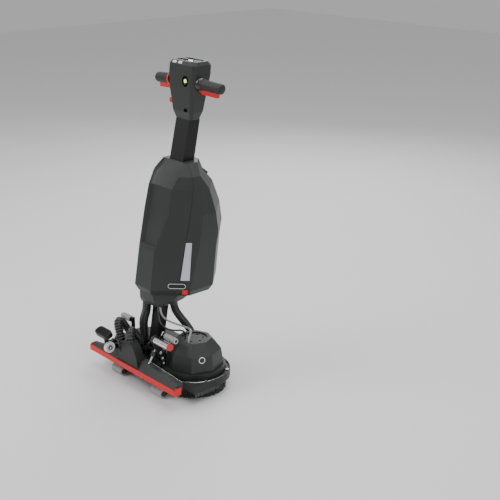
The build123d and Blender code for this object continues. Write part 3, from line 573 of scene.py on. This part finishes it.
def along_route(line: Sequence[Vector], radius: Callable[[float, float], float],
                segments: int = 20) -> bmesh.types.BMesh:
    """Tube of changing radius along a line.

    Args:
        line: points along the middle.
        radius: radius at (distance, whole length).
        segments: points round.

    Returns:
        The bmesh.
    """
    whole = sum((b - a).length for a, b in zip(line, line[1:]))
    tangents = [(line[min(k + 1, len(line) - 1)] - line[max(k - 1, 0)]).normalized()
                for k in range(len(line))]
    side = tangents[0].orthogonal().normalized()
    rings, gone = [], 0.0
    for k, (middle, tangent) in enumerate(zip(line, tangents)):
        side = (side - tangent * side.dot(tangent)).normalized()
        other = tangent.cross(side)
        if k:
            gone += (middle - line[k - 1]).length
        r = radius(gone, whole)
        rings.append([middle + side * (r * math.cos(2 * math.pi * n / segments))
                      + other * (r * math.sin(2 * math.pi * n / segments))
                      for n in range(segments)])
    return loop_rings(rings)


def rounded_copy(node: str, radius: float, body: Body, finish: Finish, slot: Slot,
                 shortest: float = 6.0, steps: int = 3) -> bpy.types.Object:
    """Replace a faceted CAD shell with the same shell whose long edges are rounded.

    Args:
        node: the CAD node.
        radius: edge radius in metres.
        body: body it rides on.
        finish: its material.
        slot: the record's slot.
        shortest: edges shorter than this many radii stay sharp.
        steps: segments round each edge.

    Returns:
        The object.
    """
    made = bmesh.new()
    made.from_mesh(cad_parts[node].data)
    bmesh.ops.remove_doubles(made, verts=made.verts, dist=WELD)
    bmesh.ops.dissolve_limit(made, angle_limit=math.radians(0.6), verts=made.verts,
                             edges=made.edges)
    chosen = [edge for edge in made.edges
              if len(edge.link_faces) == 2 and edge.is_convex
              and edge.calc_face_angle(0.0) > math.radians(7)
              and edge.calc_length() > shortest * radius]
    bmesh.ops.bevel(made, geom=chosen, offset=radius, offset_type="OFFSET", segments=steps,
                    profile=0.5, affect="EDGES", clamp_overlap=True)
    piece = Piece(f"{node}_rounded", body, finish, slot, (node,)).from_bmesh(made, 40.0)
    weigh = piece.modifiers.new("weighted", "WEIGHTED_NORMAL")
    weigh.keep_sharp = True
    return piece


def rounded_block(low: Vector, high: Vector, radius: float) -> bmesh.types.BMesh:
    """Box with rounded edges.

    Args:
        low: lowest corner.
        high: highest corner.
        radius: edge radius.

    Returns:
        The bmesh.
    """
    made = bmesh.new()
    bmesh.ops.create_cube(made, size=1.0)
    size, middle = high - low, (high + low) / 2
    for vert in made.verts:
        vert.co = Vector((vert.co.x * size.x, vert.co.y * size.y, vert.co.z * size.z)) + middle
    bmesh.ops.bevel(made, geom=made.edges[:], offset=radius, segments=3, profile=0.5,
                    affect="EDGES", clamp_overlap=True)
    return made


def stadium(half: float, radius: float, points: int = 14) -> Profile:
    """Outline of a slot lying along local X.

    Args:
        half: half distance between the two end centres.
        radius: end radius.
        points: points round each end.

    Returns:
        (x, y) points anticlockwise.
    """
    outline = []
    for start, x in ((-math.pi / 2, half), (math.pi / 2, -half)):
        for k in range(points):
            turn = start + math.pi * k / (points - 1)
            outline.append((x + radius * math.cos(turn), radius * math.sin(turn)))
    return outline


def dome(radius: float, rise: float, steps: int = 7, start: float = 0.0) -> Profile:
    """Rounded end of a lathe profile, short of its very top.

    Args:
        radius: radius at the foot.
        rise: height of the dome.
        steps: points up it.
        start: height of its foot.

    Returns:
        (radius, height) points.
    """
    return [(radius * math.cos(turn), start + rise * math.sin(turn))
            for turn in (math.pi / 2 * n / steps for n in range(steps))]


def bead(radius: float, half_width: float, middle: float, half_height: float) -> Profile:
    """Closed oval section of a raised ring.

    Args:
        radius: the ring's radius.
        half_width: half the section's width.
        middle: height of the section's middle.
        half_height: half the section's height.

    Returns:
        (radius, height) points.
    """
    return [(radius + half_width * math.cos(turn), middle + half_height * math.sin(turn))
            for turn in (2 * math.pi * n / 10 for n in range(10))]


# ------------------------------------------------------------------ sub-assemblies
@dataclass
class Hose:
    """Ribbed hose on one smooth line between two sockets.

    Attributes:
        name: piece name.
        stands_for: CAD node that it replaces.
        route: control points in drawing millimetres.
        radius: outer radius in metres.
        pitch: rib spacing.
        depth: rib depth.
        cuff: plain length at both ends.
        ends: the two bodies that it crosses, first the one at the route's start.
        reach: not used; a point from the route's start to the plane past which the hose would stay
            with the second body.
        swell: how far the ribs stand over the cuffs.
    """

    name: str
    stands_for: str
    route: Sequence[Point]
    radius: float
    pitch: float
    depth: float
    cuff: float
    ends: Tuple[Body, Body]
    reach: Point
    swell: float = 0.0

    def rib(self, gone: float, whole: float) -> float:
        """Radius at a distance along the hose.

        Args:
            gone: distance from the start.
            whole: whole length.

        Returns:
            The radius.
        """
        if gone < self.cuff or gone > whole - self.cuff:
            return self.radius
        wave = 0.5 - 0.5 * math.cos(2 * math.pi * (gone - self.cuff) / self.pitch)
        return self.radius + self.swell - self.depth * wave ** 1.6

    def build(self) -> bpy.types.Object:
        """Make the hose, loose of both bodies.

        Returns:
            The object.
        """
        line = smooth_route([tuple(at(*point)) for point in self.route], self.pitch / 7)
        piece = Piece(self.name, self.ends[0], HOSE, Slot.HOSE, (self.stands_for,), loose=True)
        made = piece.from_bmesh(along_route(line, self.rib), 50.0)
        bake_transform(made)
        return made


@dataclass
class Plumbing:
    """The hoses, the water tube and the motor cable.

    Attributes:
        hose_r: radius of the large hoses in metres.
        side_r: radius of the two side hoses.
        tube_r: radius of the water tube.
        cable_r: radius of the motor cable.
        tube: route of the water tube in drawing millimetres.
        cable: route of the motor cable.
        left: route of the left side hose.
        right: route of the right side hose.
        main: route of the main hose.
        front: route of the front hose.
    """

    hose_r: float = 0.015
    side_r: float = 0.014
    tube_r: float = 0.0034
    cable_r: float = 0.003
    tube: Sequence[Point] = (
        (44, 101, 285), (44, 101, 262), (53, 116, 234), (68, 145, 216), (95, 168, 206),
        (124, 168, 206), (145, 150, 204), (153, 134, 194), (153, 134, 170))
    cable: Sequence[Point] = (
        (28, 104, 285), (28, 104, 262), (40, 100, 222), (56, 118, 200), (76, 136, 196),
        (94, 152, 199), (102, 161, 190), (102, 161, 174))
    left: Sequence[Point] = (
        (-71, 20, 112), (-71, 20, 136), (-92, 24, 168), (-118, 36, 194), (-127, 54, 193),
        (-126, 74, 166), (-113, 91, 134), (-113, 91, 104))
    right: Sequence[Point] = (
        (-18, 20, 150), (-18, 20, 172), (-30, 28, 184), (-47, 44, 184), (-58, 60, 170),
        (-64, 78, 146), (-66, 90, 128), (-66, 90, 104))
    main: Sequence[Point] = (
        (-80, 123, 104), (-80, 123, 134), (-72, 112, 172), (-50, 100, 214), (-31, 101, 252),
        (-31, 101, 285))
    front: Sequence[Point] = (
        (20, 258, 84), (20, 258, 114), (28, 246, 144), (31, 224, 178), (33, 196, 214),
        (35, 166, 258), (35, 166, 285))

    def lines(self) -> List[bpy.types.Object]:
        """Water tube and motor cable over the right cover.

        Returns:
            The two objects.
        """
        made = []
        for name, route, radius, finish, covers in (
                ("water_tube", self.tube, self.tube_r, TUBE, ("service_lines",)),
                ("motor_cable", self.cable, self.cable_r, GLOSS_BLACK, ())):
            line = smooth_route([tuple(at(*point)) for point in route], 0.004)
            piece = Piece(name, Body.UPRIGHT, finish, Slot.HOSE, covers, loose=True)
            item = piece.from_bmesh(along_route(line, lambda gone, whole, r=radius: r, 14), 60.0)
            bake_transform(item)
            made.append(item)
        return made

    def build(self) -> List[bpy.types.Object]:
        """Make every hose and line.

        Returns:
            The objects.
        """
        hoses = [
            Hose("side_hose_left_ribbed", "side_hose_left", self.left, self.side_r, 0.0090,
                 0.0042, 0.010, (Body.SQUEEGEE, Body.FLOOR), (-0.025, 0.035, 0.030), 0.0012),
            Hose("side_hose_right_ribbed", "side_hose_right", self.right, self.side_r, 0.0090,
                 0.0038, 0.010, (Body.SQUEEGEE, Body.FLOOR), (-0.015, 0.025, 0.018)),
            Hose("main_hose_ribbed", "main_hose", self.main, self.hose_r, 0.0085, 0.0032,
                 0.014, (Body.FLOOR, Body.UPRIGHT), (0.0, 0.0, 0.165), 0.0006),
            Hose("front_hose_ribbed", "front_hose", self.front, self.hose_r - 0.001, 0.0085,
                 0.0028, 0.014, (Body.FLOOR, Body.UPRIGHT), (0.0, 0.0, 0.185)),
        ]
        return [hose.build() for hose in hoses] + self.lines()


@dataclass
class BrushSkirt:
    """Tufts of one rotary brush.

    Attributes:
        body: the brush's body.
        stands_for: the CAD node.
        x: drawing x of its axis in millimetres.
        rows: (top radius, foot radius, tufts) of each row, in metres.
        top: height of the tuft roots.
        tuft: root and foot radius of one tuft.
        sides: faces round one tuft.
        core: (radius, height) section of the dense ring behind the tufts.
    """

    body: Body
    stands_for: str
    x: float
    rows: Sequence[Tuple[float, float, int]] = (
        (0.0930, 0.1050, 84), (0.0870, 0.0975, 78), (0.0800, 0.0885, 70), (0.0720, 0.0780, 60))
    top: float = 0.0325
    tuft: Tuple[float, float] = (0.0021, 0.0029)
    sides: int = 6
    core: Profile = field(default_factory=lambda: [
        (0.060, 0.0325), (0.0915, 0.0325), (0.098, 0.006), (0.070, 0.004), (0.060, 0.010)])

    def build(self) -> bpy.types.Object:
        """Make the skirt.

        Returns:
            The object.
        """
        draw = random.Random(11)
        middle = at(self.x, BRUSH_Y, 0)
        made = bmesh.new()
        for inner, outer, count in self.rows:
            for k in range(count):
                turn = 2 * math.pi * (k + draw.uniform(-0.2, 0.2)) / count
                way = Vector((math.cos(turn), math.sin(turn), 0))
                top = middle + way * inner + Vector((0, 0, self.top))
                lean = draw.uniform(-0.0012, 0.0012)
                foot = middle + way * (outer + lean)
                bend = top.lerp(foot, 0.5) + way * 0.0015
                rings = []
                for spot, share in ((top, 0.0), (bend, 0.5), (foot, 1.0)):
                    r = self.tuft[0] + share * (self.tuft[1] - self.tuft[0])
                    rings.append([spot + Vector((r * math.cos(a), r * math.sin(a), 0))
                                  for a in (2 * math.pi * n / self.sides
                                            for n in range(self.sides))])
                merge(made, loop_rings(rings))
        merge(made, lathe(self.core, Matrix.Translation(middle), 64, joined=True))
        name = f"{self.stands_for}_tufts"
        return Piece(name, self.body, BRISTLE, Slot.BRISTLE, (self.stands_for,)).from_bmesh(made)


@dataclass
class FloorHead:
    """Trim and rounded shells of the floor head.

    Attributes:
        edge: edge radius of the moulded covers in metres.
        comb_gap: spacing of the side comb's strands.
        comb_length: length of a comb.
        comb_x: drawing x of a comb in millimetres.
        bolt_x: drawing x of the bracket's outer face.
        bolt_spots: drawing y, height and radius of each bracket bolt.
        sleeves: side, drawing x of the root, and length of each stub's sleeve.
        rib_pitch: spacing of the ribs on the sleeves.
        roller_at: middle of the right rear roller.
        screw_at: the screw in the wall roller's hub.
    """

    edge: float = 0.0025
    comb_gap: float = 0.0026
    comb_length: float = 0.108
    comb_x: float = 243.5
    bolt_x: float = 84.0
    bolt_spots: Sequence[Point] = ((69.5, 136, 5.2), (77.0, 112, 5.2), (81.0, 94, 4.6))
    sleeves: Sequence[Point] = ((1, 98, 56), (-1, -98, 50))
    rib_pitch: float = 7.0
    roller_at: Point = (114.0, 33.0, 16.0)
    screw_at: Point = (-80.5, -22.0, 126.0)

    def shells(self) -> List[bpy.types.Object]:
        """Moulded covers with rounded edges.

        Returns:
            The objects.
        """
        return [
            rounded_copy("right_motor_cover", 0.004, Body.FLOOR, SHELL, Slot.SHELL, 5.0),
            rounded_copy("gear_case", 0.0015, Body.FLOOR, SHELL_DARK, Slot.SHELL),
            rounded_copy("deck_tray", 0.0015, Body.FLOOR, SHELL_DARK, Slot.SHELL),
            rounded_copy("squeegee_body", self.edge, Body.SQUEEGEE, SHELL, Slot.SHELL),
            rounded_copy("suction_hood", 0.0012, Body.SQUEEGEE, SHELL_DARK, Slot.SHELL),
        ]

    def side_combs(self) -> bpy.types.Object:
        """Strands of the two side brush strips.

        Returns:
            The object.
        """
        draw = random.Random(5)
        made = bmesh.new()
        count = int(self.comb_length / self.comb_gap)
        for side in (1, -1):
            for k in range(count):
                y = 85 + MM * self.comb_gap * k
                root = at(side * self.comb_x, y, 55)
                foot = at(side * (244.0 + draw.uniform(-1.0, 1.0)), y + draw.uniform(-1, 1), 23)
                rings = [[spot + Vector((w * c, w * s, 0)) for c, s in
                          ((1, 1), (-1, 1), (-1, -1), (1, -1))]
                         for spot, w in ((root, 0.0011), (foot, 0.0007))]
                merge(made, loop_rings(rings))
            low = at(side * self.comb_x - 2.2, 84.5, 47)
            high = at(side * self.comb_x + 2.2, 193.5, 55.5)
            merge(made, rounded_block(low, high, 0.001))
        return Piece("side_brush_combs", Body.FLOOR, FRINGE, Slot.BRISTLE,
                     ("side_brush_strips",)).from_bmesh(made)

    def cover_ring(self) -> List[bpy.types.Object]:
        """Blank light ring on the motor cover and the disc inside it.

        Returns:
            The objects.
        """
        turn = math.radians(-22.5)
        normal = Vector((math.cos(turn), math.sin(turn), 0.132)).normalized()
        surface = at(BRUSH_X + 86.5 * math.cos(turn), BRUSH_Y + 86.5 * math.sin(turn), 129)
        place = frame_on(surface, normal)
        disc = [(0.0003, -0.0008), (0.0090, -0.0008), (0.0090, 0.0010), (0.0084, 0.0016),
                (0.0001, 0.0018)]
        return [
            Piece("cover_ring", Body.FLOOR, WHITE, Slot.WHITE).from_bmesh(
                lathe(bead(0.0100, 0.0015, 0.0012, 0.0011), place, 48, joined=True)),
            Piece("cover_ring_disc", Body.FLOOR, SHELL, Slot.SHELL).from_bmesh(
                lathe(disc, place, 48)),
        ]

    def bolts(self) -> bpy.types.Object:
        """Bright hexagon bolts with washers on the peg bracket.

        Returns:
            The object.
        """
        made = bmesh.new()
        for y, z, size in self.bolt_spots:
            place = frame_on(at(self.bolt_x, y, z), Vector((1, 0, 0)))
            r = size / MM
            merge(made, lathe([(r * 1.5, 0.0), (r * 1.5, 0.0009), (r * 1.4, 0.0012),
                               (r * 1.1, 0.0012)], place, 32))
            merge(made, lathe([(r, 0.0012), (r, 0.0040), (r * 0.88, 0.0048), (r * 0.2, 0.0050)],
                              place, 6))
        return Piece("bracket_bolts", Body.FLOOR, STEEL, Slot.STEEL).from_bmesh(made, 25.0)

    def painted_highlight_lines(self) -> List[bpy.types.Object]:
        """Painted highlights: a bead on the deck round the right cover, a strip on the squeegee's
        edge.

        Returns:
            The objects.
        """
        turns = [math.radians(-118 + 4 * k) for k in range(35)]
        # Painted highlight: a steel bead along the deck's rim, where there is only a gloss
        # reflection.
        rim_highlight = [at(BRUSH_X + 113.5 * math.cos(t), BRUSH_Y + 113.5 * math.sin(t), 62.6)
                for t in turns]
        # Painted highlight: a steel strip along the squeegee's top edge, where the edge only
        # catches light.
        strip = [at(38 + 4 * k, 42.7 - 0.136 * k, 103.7 - 0.155 * k) for k in range(51)]
        return [
            Piece("deck_rim_highlight", Body.FLOOR, STEEL, Slot.STEEL).from_bmesh(
                along_route(rim_highlight, lambda gone, whole: 0.0017, 12), 60.0),
            Piece("squeegee_edge_highlight", Body.SQUEEGEE, STEEL, Slot.STEEL).from_bmesh(
                along_route(strip, lambda gone, whole: 0.0011, 8), 60.0),
        ]

    def coupling_sleeves(self) -> bpy.types.Object:
        """Ribbed light sleeves over the two hose stubs.

        Returns:
            The object.
        """
        made = bmesh.new()
        for side, start, length in self.sleeves:
            place = frame_on(at(start, 80, 199), Vector((side, 0, 0)))
            profile = [(0.0050, 0.0), (0.0094, 0.0)]
            for k in range(int(length / self.rib_pitch)):
                h = (self.rib_pitch / 2 + self.rib_pitch * k) / MM
                profile += [(0.0094, h - 0.0018), (0.0108, h - 0.0010), (0.0108, h + 0.0010),
                            (0.0094, h + 0.0018)]
            profile += [(0.0094, (length + 0.6) / MM), (0.0050, (length + 0.6) / MM)]
            merge(made, lathe(profile, place, 36, joined=True))
        return Piece("coupling_sleeves", Body.FLOOR, ROLLER, Slot.ROLLER).from_bmesh(made, 50.0)

    def roller_screw(self) -> bpy.types.Object:
        """Bright domed screw in the wall roller's hub.

        Returns:
            The object.
        """
        place = frame_on(at(*self.screw_at), Vector((1, 0, 0)))
        made = lathe([(0.0052, -0.0006)] + dome(0.0052, 0.0030) + [(0.0002, 0.0030)], place, 28)
        return Piece("roller_screw", Body.PEDAL, STEEL, Slot.STEEL).from_bmesh(made, 60.0)

    def rollers(self) -> List[bpy.types.Object]:
        """Hub caps at the rear rollers' ends.

        Returns:
            The objects.
        """
        made = []
        x, y, z = self.roller_at
        for name, body, way in (("right", Body.ROLLER_RIGHT, 1), ("left", Body.ROLLER_LEFT, -1)):
            hubs = bmesh.new()
            for side in (1, -1):
                place = frame_on(at(way * x + side * 27.0, y, z), Vector((side, 0, 0)))
                merge(hubs, lathe([(0.0050, 0.0), (0.0105, 0.0), (0.0105, 0.0007),
                                   (0.0098, 0.0012), (0.0050, 0.0012)], place, 32, joined=True))
            made.append(Piece(f"roller_hubs_{name}", body, BLACK, Slot.BLACK).from_bmesh(hubs))
        return made

    def build(self) -> List[bpy.types.Object]:
        """Make every floor head piece.

        Returns:
            The objects.
        """
        return (self.shells() + self.painted_highlight_lines() + self.cover_ring() + self.rollers()
                + [self.side_combs(), self.bolts(), self.coupling_sleeves(),
                   self.roller_screw()])


@dataclass
class Upright:
    """Rounded pod shells and the trim on them.

    Attributes:
        edge: edge radius of the pod's facets in metres.
        badge_half: half distance between the badge outline's end centres.
        badge_r: radius of its ends.
    """

    edge: float = 0.005
    badge_half: float = 0.0215
    badge_r: float = 0.0086

    def shells(self) -> List[bpy.types.Object]:
        """Pod, chin and head shells with rounded edges.

        Returns:
            The objects.
        """
        return [
            rounded_copy("rear_shell", self.edge, Body.UPRIGHT, SHELL, Slot.SHELL, 4.0),
            rounded_copy("front_tank", self.edge, Body.TANK, SHELL, Slot.SHELL, 4.0),
            rounded_copy("chin_cover", 0.004, Body.UPRIGHT, SHELL, Slot.SHELL, 4.0),
            rounded_copy("head_rear_shell", 0.0035, Body.UPRIGHT, SHELL, Slot.SHELL, 4.0),
            rounded_copy("head_front_shell", 0.0035, Body.UPRIGHT, SHELL, Slot.SHELL, 4.0),
        ]

    def badge_outline(self) -> bpy.types.Object:
        """Raised light outline on the blank badge.

        Returns:
            The object.
        """
        normal = Vector((1, -1, 0.178)).normalized()
        surface = at(105, 105 + 17 + 0.178 * (369 - 341), 369) + normal * 0.0019
        place = frame_on(surface, normal, Vector((1, 1, 0)))
        rings = []
        outer = stadium(self.badge_half, self.badge_r)
        inner = stadium(self.badge_half, self.badge_r - 0.0019)
        for (ox, oy), (ix, iy) in zip(outer, inner):
            rings.append([place @ Vector((ox, oy, 0)), place @ Vector((ox, oy, 0.0006)),
                          place @ Vector((ix, iy, 0.0006)), place @ Vector((ix, iy, 0))])
        made = loop_rings(rings, joined=True)
        return Piece("badge_outline", Body.UPRIGHT, LABEL, Slot.GREY).from_bmesh(made)

    def build(self) -> List[bpy.types.Object]:
        """Make the upright's pieces.

        Returns:
            The objects.
        """
        return self.shells() + [self.badge_outline()]


@dataclass
class ControlHead:
    """Trim on the control head.

    Attributes:
        grip_in: drawing x of a grip root in millimetres.
        grip_y: drawing y of a grip root.
        grip_z: height of a grip root.
        sweep: degrees that the grips sweep forward.
        droop: fall per unit of length.
        grip_length: from the root to where the end's dome starts, in metres.
    """

    grip_in: float = 71.5
    grip_y: float = 268.0
    grip_z: float = 1022.0
    sweep: float = 8.0
    droop: float = 0.08
    grip_length: float = 0.091

    def grip_frame(self, side: int) -> Matrix:
        """Frame at a grip root, Z running out along the grip.

        Args:
            side: 1 for right, -1 for left.

        Returns:
            The matrix.
        """
        turn = math.radians(self.sweep)
        way = Vector((side * math.cos(turn), math.sin(turn), -self.droop))
        return frame_on(at(side * self.grip_in, self.grip_y, self.grip_z), way)

    def collars(self) -> List[bpy.types.Object]:
        """Flared collars at the grip roots, open below for the triggers.

        Returns:
            The objects.
        """
        section = [(0.0172, -0.0030), (0.0215, -0.0030), (0.0222, -0.0020), (0.0220, 0.0035),
                   (0.0206, 0.0085), (0.0184, 0.0120), (0.0172, 0.0125)]
        made = []
        for name, side, finish, slot, covers in (
                ("collar_right", 1, GLOSS_BLACK, Slot.BLACK, ("grip_collars",)),
                ("collar_left", -1, RED, Slot.RED, ())):
            place = self.grip_frame(side)
            rings = []
            for k in range(41):
                turn = math.radians(180 + 28 + (360 - 56) * k / 40)
                rings.append([place @ Vector((r * math.cos(turn), r * math.sin(turn), h))
                              for r, h in section])
            skin = loop_rings(rings)
            made.append(Piece(name, Body.UPRIGHT, finish, slot, covers).from_bmesh(skin, 50.0))
        return made

    def grip_ends(self) -> bpy.types.Object:
        """Domed ends of both grips.

        Returns:
            The object.
        """
        made = bmesh.new()
        for side in (1, -1):
            place = self.grip_frame(side)
            end = self.grip_length
            merge(made, lathe([(0.0168, end - 0.001)] + dome(0.0170, 0.0075, 8, end)
                              + [(0.0004, end + 0.0075)], place, 40))
            for k in range(5):
                h = 0.016 + 0.016 * k
                merge(made, lathe([(0.0168, h), (0.0174, h + 0.0008), (0.0174, h + 0.0022),
                                   (0.0168, h + 0.0030)], place, 40, joined=True))
        return Piece("grip_ends", Body.UPRIGHT, GRIP, Slot.BLACK).from_bmesh(made, 50.0)

    def bezels(self) -> List[bpy.types.Object]:
        """Rings round the lamp and the eyelet, and the lamp's domed lens.

        Returns:
            The objects.
        """
        back = Vector((0, -1, 0))
        oval = Matrix.Diagonal((1.16, 0.98, 1.0, 1.0))
        lamp_place = frame_on(at(27, 240.9, 1027), back) @ oval
        cup = [(0.0152, -0.0030), (0.0152, 0.0008), (0.0145, 0.0014), (0.0128, 0.0014),
               (0.0112, -0.0002), (0.0050, -0.0010), (0.0050, -0.0030)]
        frame_ring = lathe(cup, lamp_place, 48, joined=True)
        eyelet = bead(0.0070, 0.0016, 0.0005, 0.0013)
        wide = Matrix.Diagonal((0.72, 1.0, 1.0, 1.0))
        merge(frame_ring, lathe(eyelet, frame_on(at(24, 242.6, 932), back) @ wide, 40,
                                joined=True))
        lens = lathe([(0.0055, -0.0035)] + dome(0.0056, 0.0028) + [(0.0003, 0.0028)],
                     frame_on(at(27.5, 240.6, 1028.5), back) @ oval, 32)
        # The bezels take the near-black finish that paints the shade of the lamp and eyelet
        # recesses.
        return [Piece("head_bezels", Body.UPRIGHT, RECESS_SHADE, Slot.BLACK).from_bmesh(
                    frame_ring, 60.0),
                Piece("lamp_lens", Body.UPRIGHT, LAMP, Slot.LAMP).from_bmesh(lens, 60.0)]

    def panel(self) -> List[bpy.types.Object]:
        """Bright rear lip of the panel recess and two blank labels.

        Returns:
            The objects.
        """
        labels = bmesh.new()
        slope = Vector((0, -0.864, 0.504))
        for x in (-36, -7):
            place = frame_on(at(x, 249.6, 1084.4), slope, Vector((1, 0, 0)))
            plate = rounded_block(Vector((-0.0092, -0.0042, -0.0006)),
                                  Vector((0.0092, 0.0042, 0.0010)), 0.0004)
            plate.transform(place)
            merge(labels, plate)
        lip = rounded_block(at(8, 260.2, 1089.4), at(47.4, 262, 1091.2), 0.0005)
        merge(lip, rounded_block(at(45.8, 261, 1089.4), at(47.4, 292, 1091.2), 0.0005))
        return [Piece("panel_labels", Body.UPRIGHT, WHITE, Slot.WHITE).from_bmesh(labels),
                Piece("panel_lip", Body.UPRIGHT, LABEL, Slot.GREY).from_bmesh(lip)]

    def build(self) -> List[bpy.types.Object]:
        """Make the head's trim.

        Returns:
            The objects.
        """
        return self.collars() + [self.grip_ends()] + self.bezels() + self.panel()


@dataclass
class KeptNodes:
    """Frame nodes whose shape is right and which only need their finish.

    Attributes:
        finishes: finish by node name.
    """

    finishes: Dict[str, Finish] = field(default_factory=lambda: {
        "battery_pack": BLACK, "blank_badge": SHELL_DARK, "brush_disc_left": BLACK,
        "brush_disc_right": BLACK, "brush_gear_left": STEEL, "brush_gear_right": STEEL,
        "brush_motor": STEEL, "control_panel": GLOSS_BLACK, "deck_screws": STEEL,
        "docking_pegs": ALLOY, "filler_cap": SHELL_DARK, "foot_pedal": BLACK,
        "gear_spindles": STEEL, "grips": GRIP, "handle_stem": BLACK, "hose_coupling": BLACK,
        "hose_sockets": BLACK, "idler_gear_left": GREY, "idler_gear_right": GREY,
        "level_window": WINDOW, "lift_rods": STEEL, "mode_button": BLACK,
        "neck_column": BLACK, "neck_yoke": PAINT, "pedal_arm": PAINT, "pedal_roller": WHITE,
        "peg_brackets": PAINT, "peg_caps": RED, "power_button": BLACK, "rear_brackets": PAINT,
        "release_lever": RED, "roller_frames": PAINT, "roller_left": ROLLER,
        "roller_right": ROLLER, "squeegee_blades": BLADE, "status_lamp": GLOSS_BLACK,
        "tank_latch_button": RED, "tilt_pin": STEEL, "trigger_left": RED, "trigger_right": RED,
        "vacuum_motor": STEEL})

    def dress(self) -> int:
        """Give every listed node its finish.

        Returns:
            How many nodes were dressed.
        """
        for name, finish in self.finishes.items():
            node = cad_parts[name]
            if not node.material_slots:
                node.data.materials.append(None)
            for place in node.material_slots:
                place.material = finish.material()
        return len(self.finishes)


# ------------------------------------------------------------------ stage
@dataclass
class Studio:
    """Pale floor, soft lights and the camera.

    Attributes:
        camera_at: camera place in drawing millimetres.
        azimuth: degrees that the view is turned about Z.
        elevation: degrees above the horizon.
        roll: degrees of roll.
        lens: focal length in millimetres.
    """

    camera_at: Point = (2527.6, -1749.0, 1576.3)
    azimuth: float = 47.7
    elevation: float = 19.45
    roll: float = 0.15
    lens: float = 71.06

    def floor(self) -> bpy.types.Object:
        """Large pale floor.

        Returns:
            The object.
        """
        made = bpy.data.meshes.new("floor")
        made.from_pydata([(-9, -9, 0), (9, -9, 0), (9, 9, 0), (-9, 9, 0)], [], [(0, 1, 2, 3)])
        floor = bpy.data.objects.new("floor", made)
        bpy.context.scene.collection.objects.link(floor)
        paint = bpy.data.materials.new("Pale studio floor")
        paint.use_nodes = True
        shader = paint.node_tree.nodes["Principled BSDF"]
        shader.inputs["Base Color"].default_value = (0.88, 0.88, 0.88, 1.0)
        shader.inputs["Roughness"].default_value = 0.75
        made.materials.append(paint)
        return floor

    def light(self, name: str, place: Point, aim: Point, size: float, watts: float) -> None:
        """Add one soft square light.

        Args:
            name: its name.
            place: where it hangs, in metres.
            aim: the point it faces.
            size: side length in metres.
            watts: its power.
        """
        lamp = bpy.data.lights.new(name, "AREA")
        lamp.size = size
        lamp.energy = watts
        holder = bpy.data.objects.new(name, lamp)
        holder.location = place
        way = Vector(aim) - Vector(place)
        holder.rotation_euler = way.to_track_quat("-Z", "Y").to_euler()
        bpy.context.scene.collection.objects.link(holder)

    def build(self) -> None:
        """Set the whole stage."""
        self.floor()
        middle = (0.0, 0.0, 0.55)
        self.light("key", (-1.6, -2.6, 3.0), middle, 2.4, 70.0)
        self.light("fill", (3.4, -0.6, 1.8), middle, 2.6, 30.0)
        self.light("top", (0.4, 0.6, 3.6), middle, 3.0, 70.0)
        self.light("rim", (-1.8, 2.6, 2.2), middle, 2.0, 40.0)
        world = bpy.data.worlds.new("studio air")
        world.use_nodes = True
        air = world.node_tree.nodes["Background"]
        air.inputs["Color"].default_value = (1.0, 1.0, 1.0, 1.0)
        air.inputs["Strength"].default_value = 0.45
        bpy.context.scene.world = world
        lens = bpy.data.cameras.new("camera")
        lens.lens = self.lens
        lens.sensor_width = 36.0
        camera = bpy.data.objects.new("camera", lens)
        camera.location = at(*self.camera_at)
        turn = Matrix.Rotation(math.radians(self.azimuth), 4, "Z")
        tilt = Matrix.Rotation(math.radians(90 - self.elevation), 4, "X")
        roll = Matrix.Rotation(math.radians(self.roll), 4, "Z")
        camera.rotation_euler = (turn @ tilt @ roll).to_euler()
        bpy.context.scene.collection.objects.link(camera)
        bpy.context.scene.camera = camera


def main() -> None:
    """Build the stage and every sub-assembly, then log each piece's faces and the kept nodes
    dressed.
    """
    logging.basicConfig(level=logging.INFO, format="%(name)s: %(message)s")
    Studio().build()
    brushes = [BrushSkirt(Body.BRUSH_RIGHT, "brush_bristles_right", BRUSH_X),
               BrushSkirt(Body.BRUSH_LEFT, "brush_bristles_left", -BRUSH_X)]
    made = Plumbing().build() + [brush.build() for brush in brushes]
    for assembly in (FloorHead(), Upright(), ControlHead()):
        made += assembly.build()
    for piece in made:
        log.info("%s: %d faces", piece.name, len(piece.data.polygons))
    log.info("kept nodes dressed: %d", KeptNodes().dress())
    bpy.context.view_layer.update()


if __name__ == "__main__":
    main()
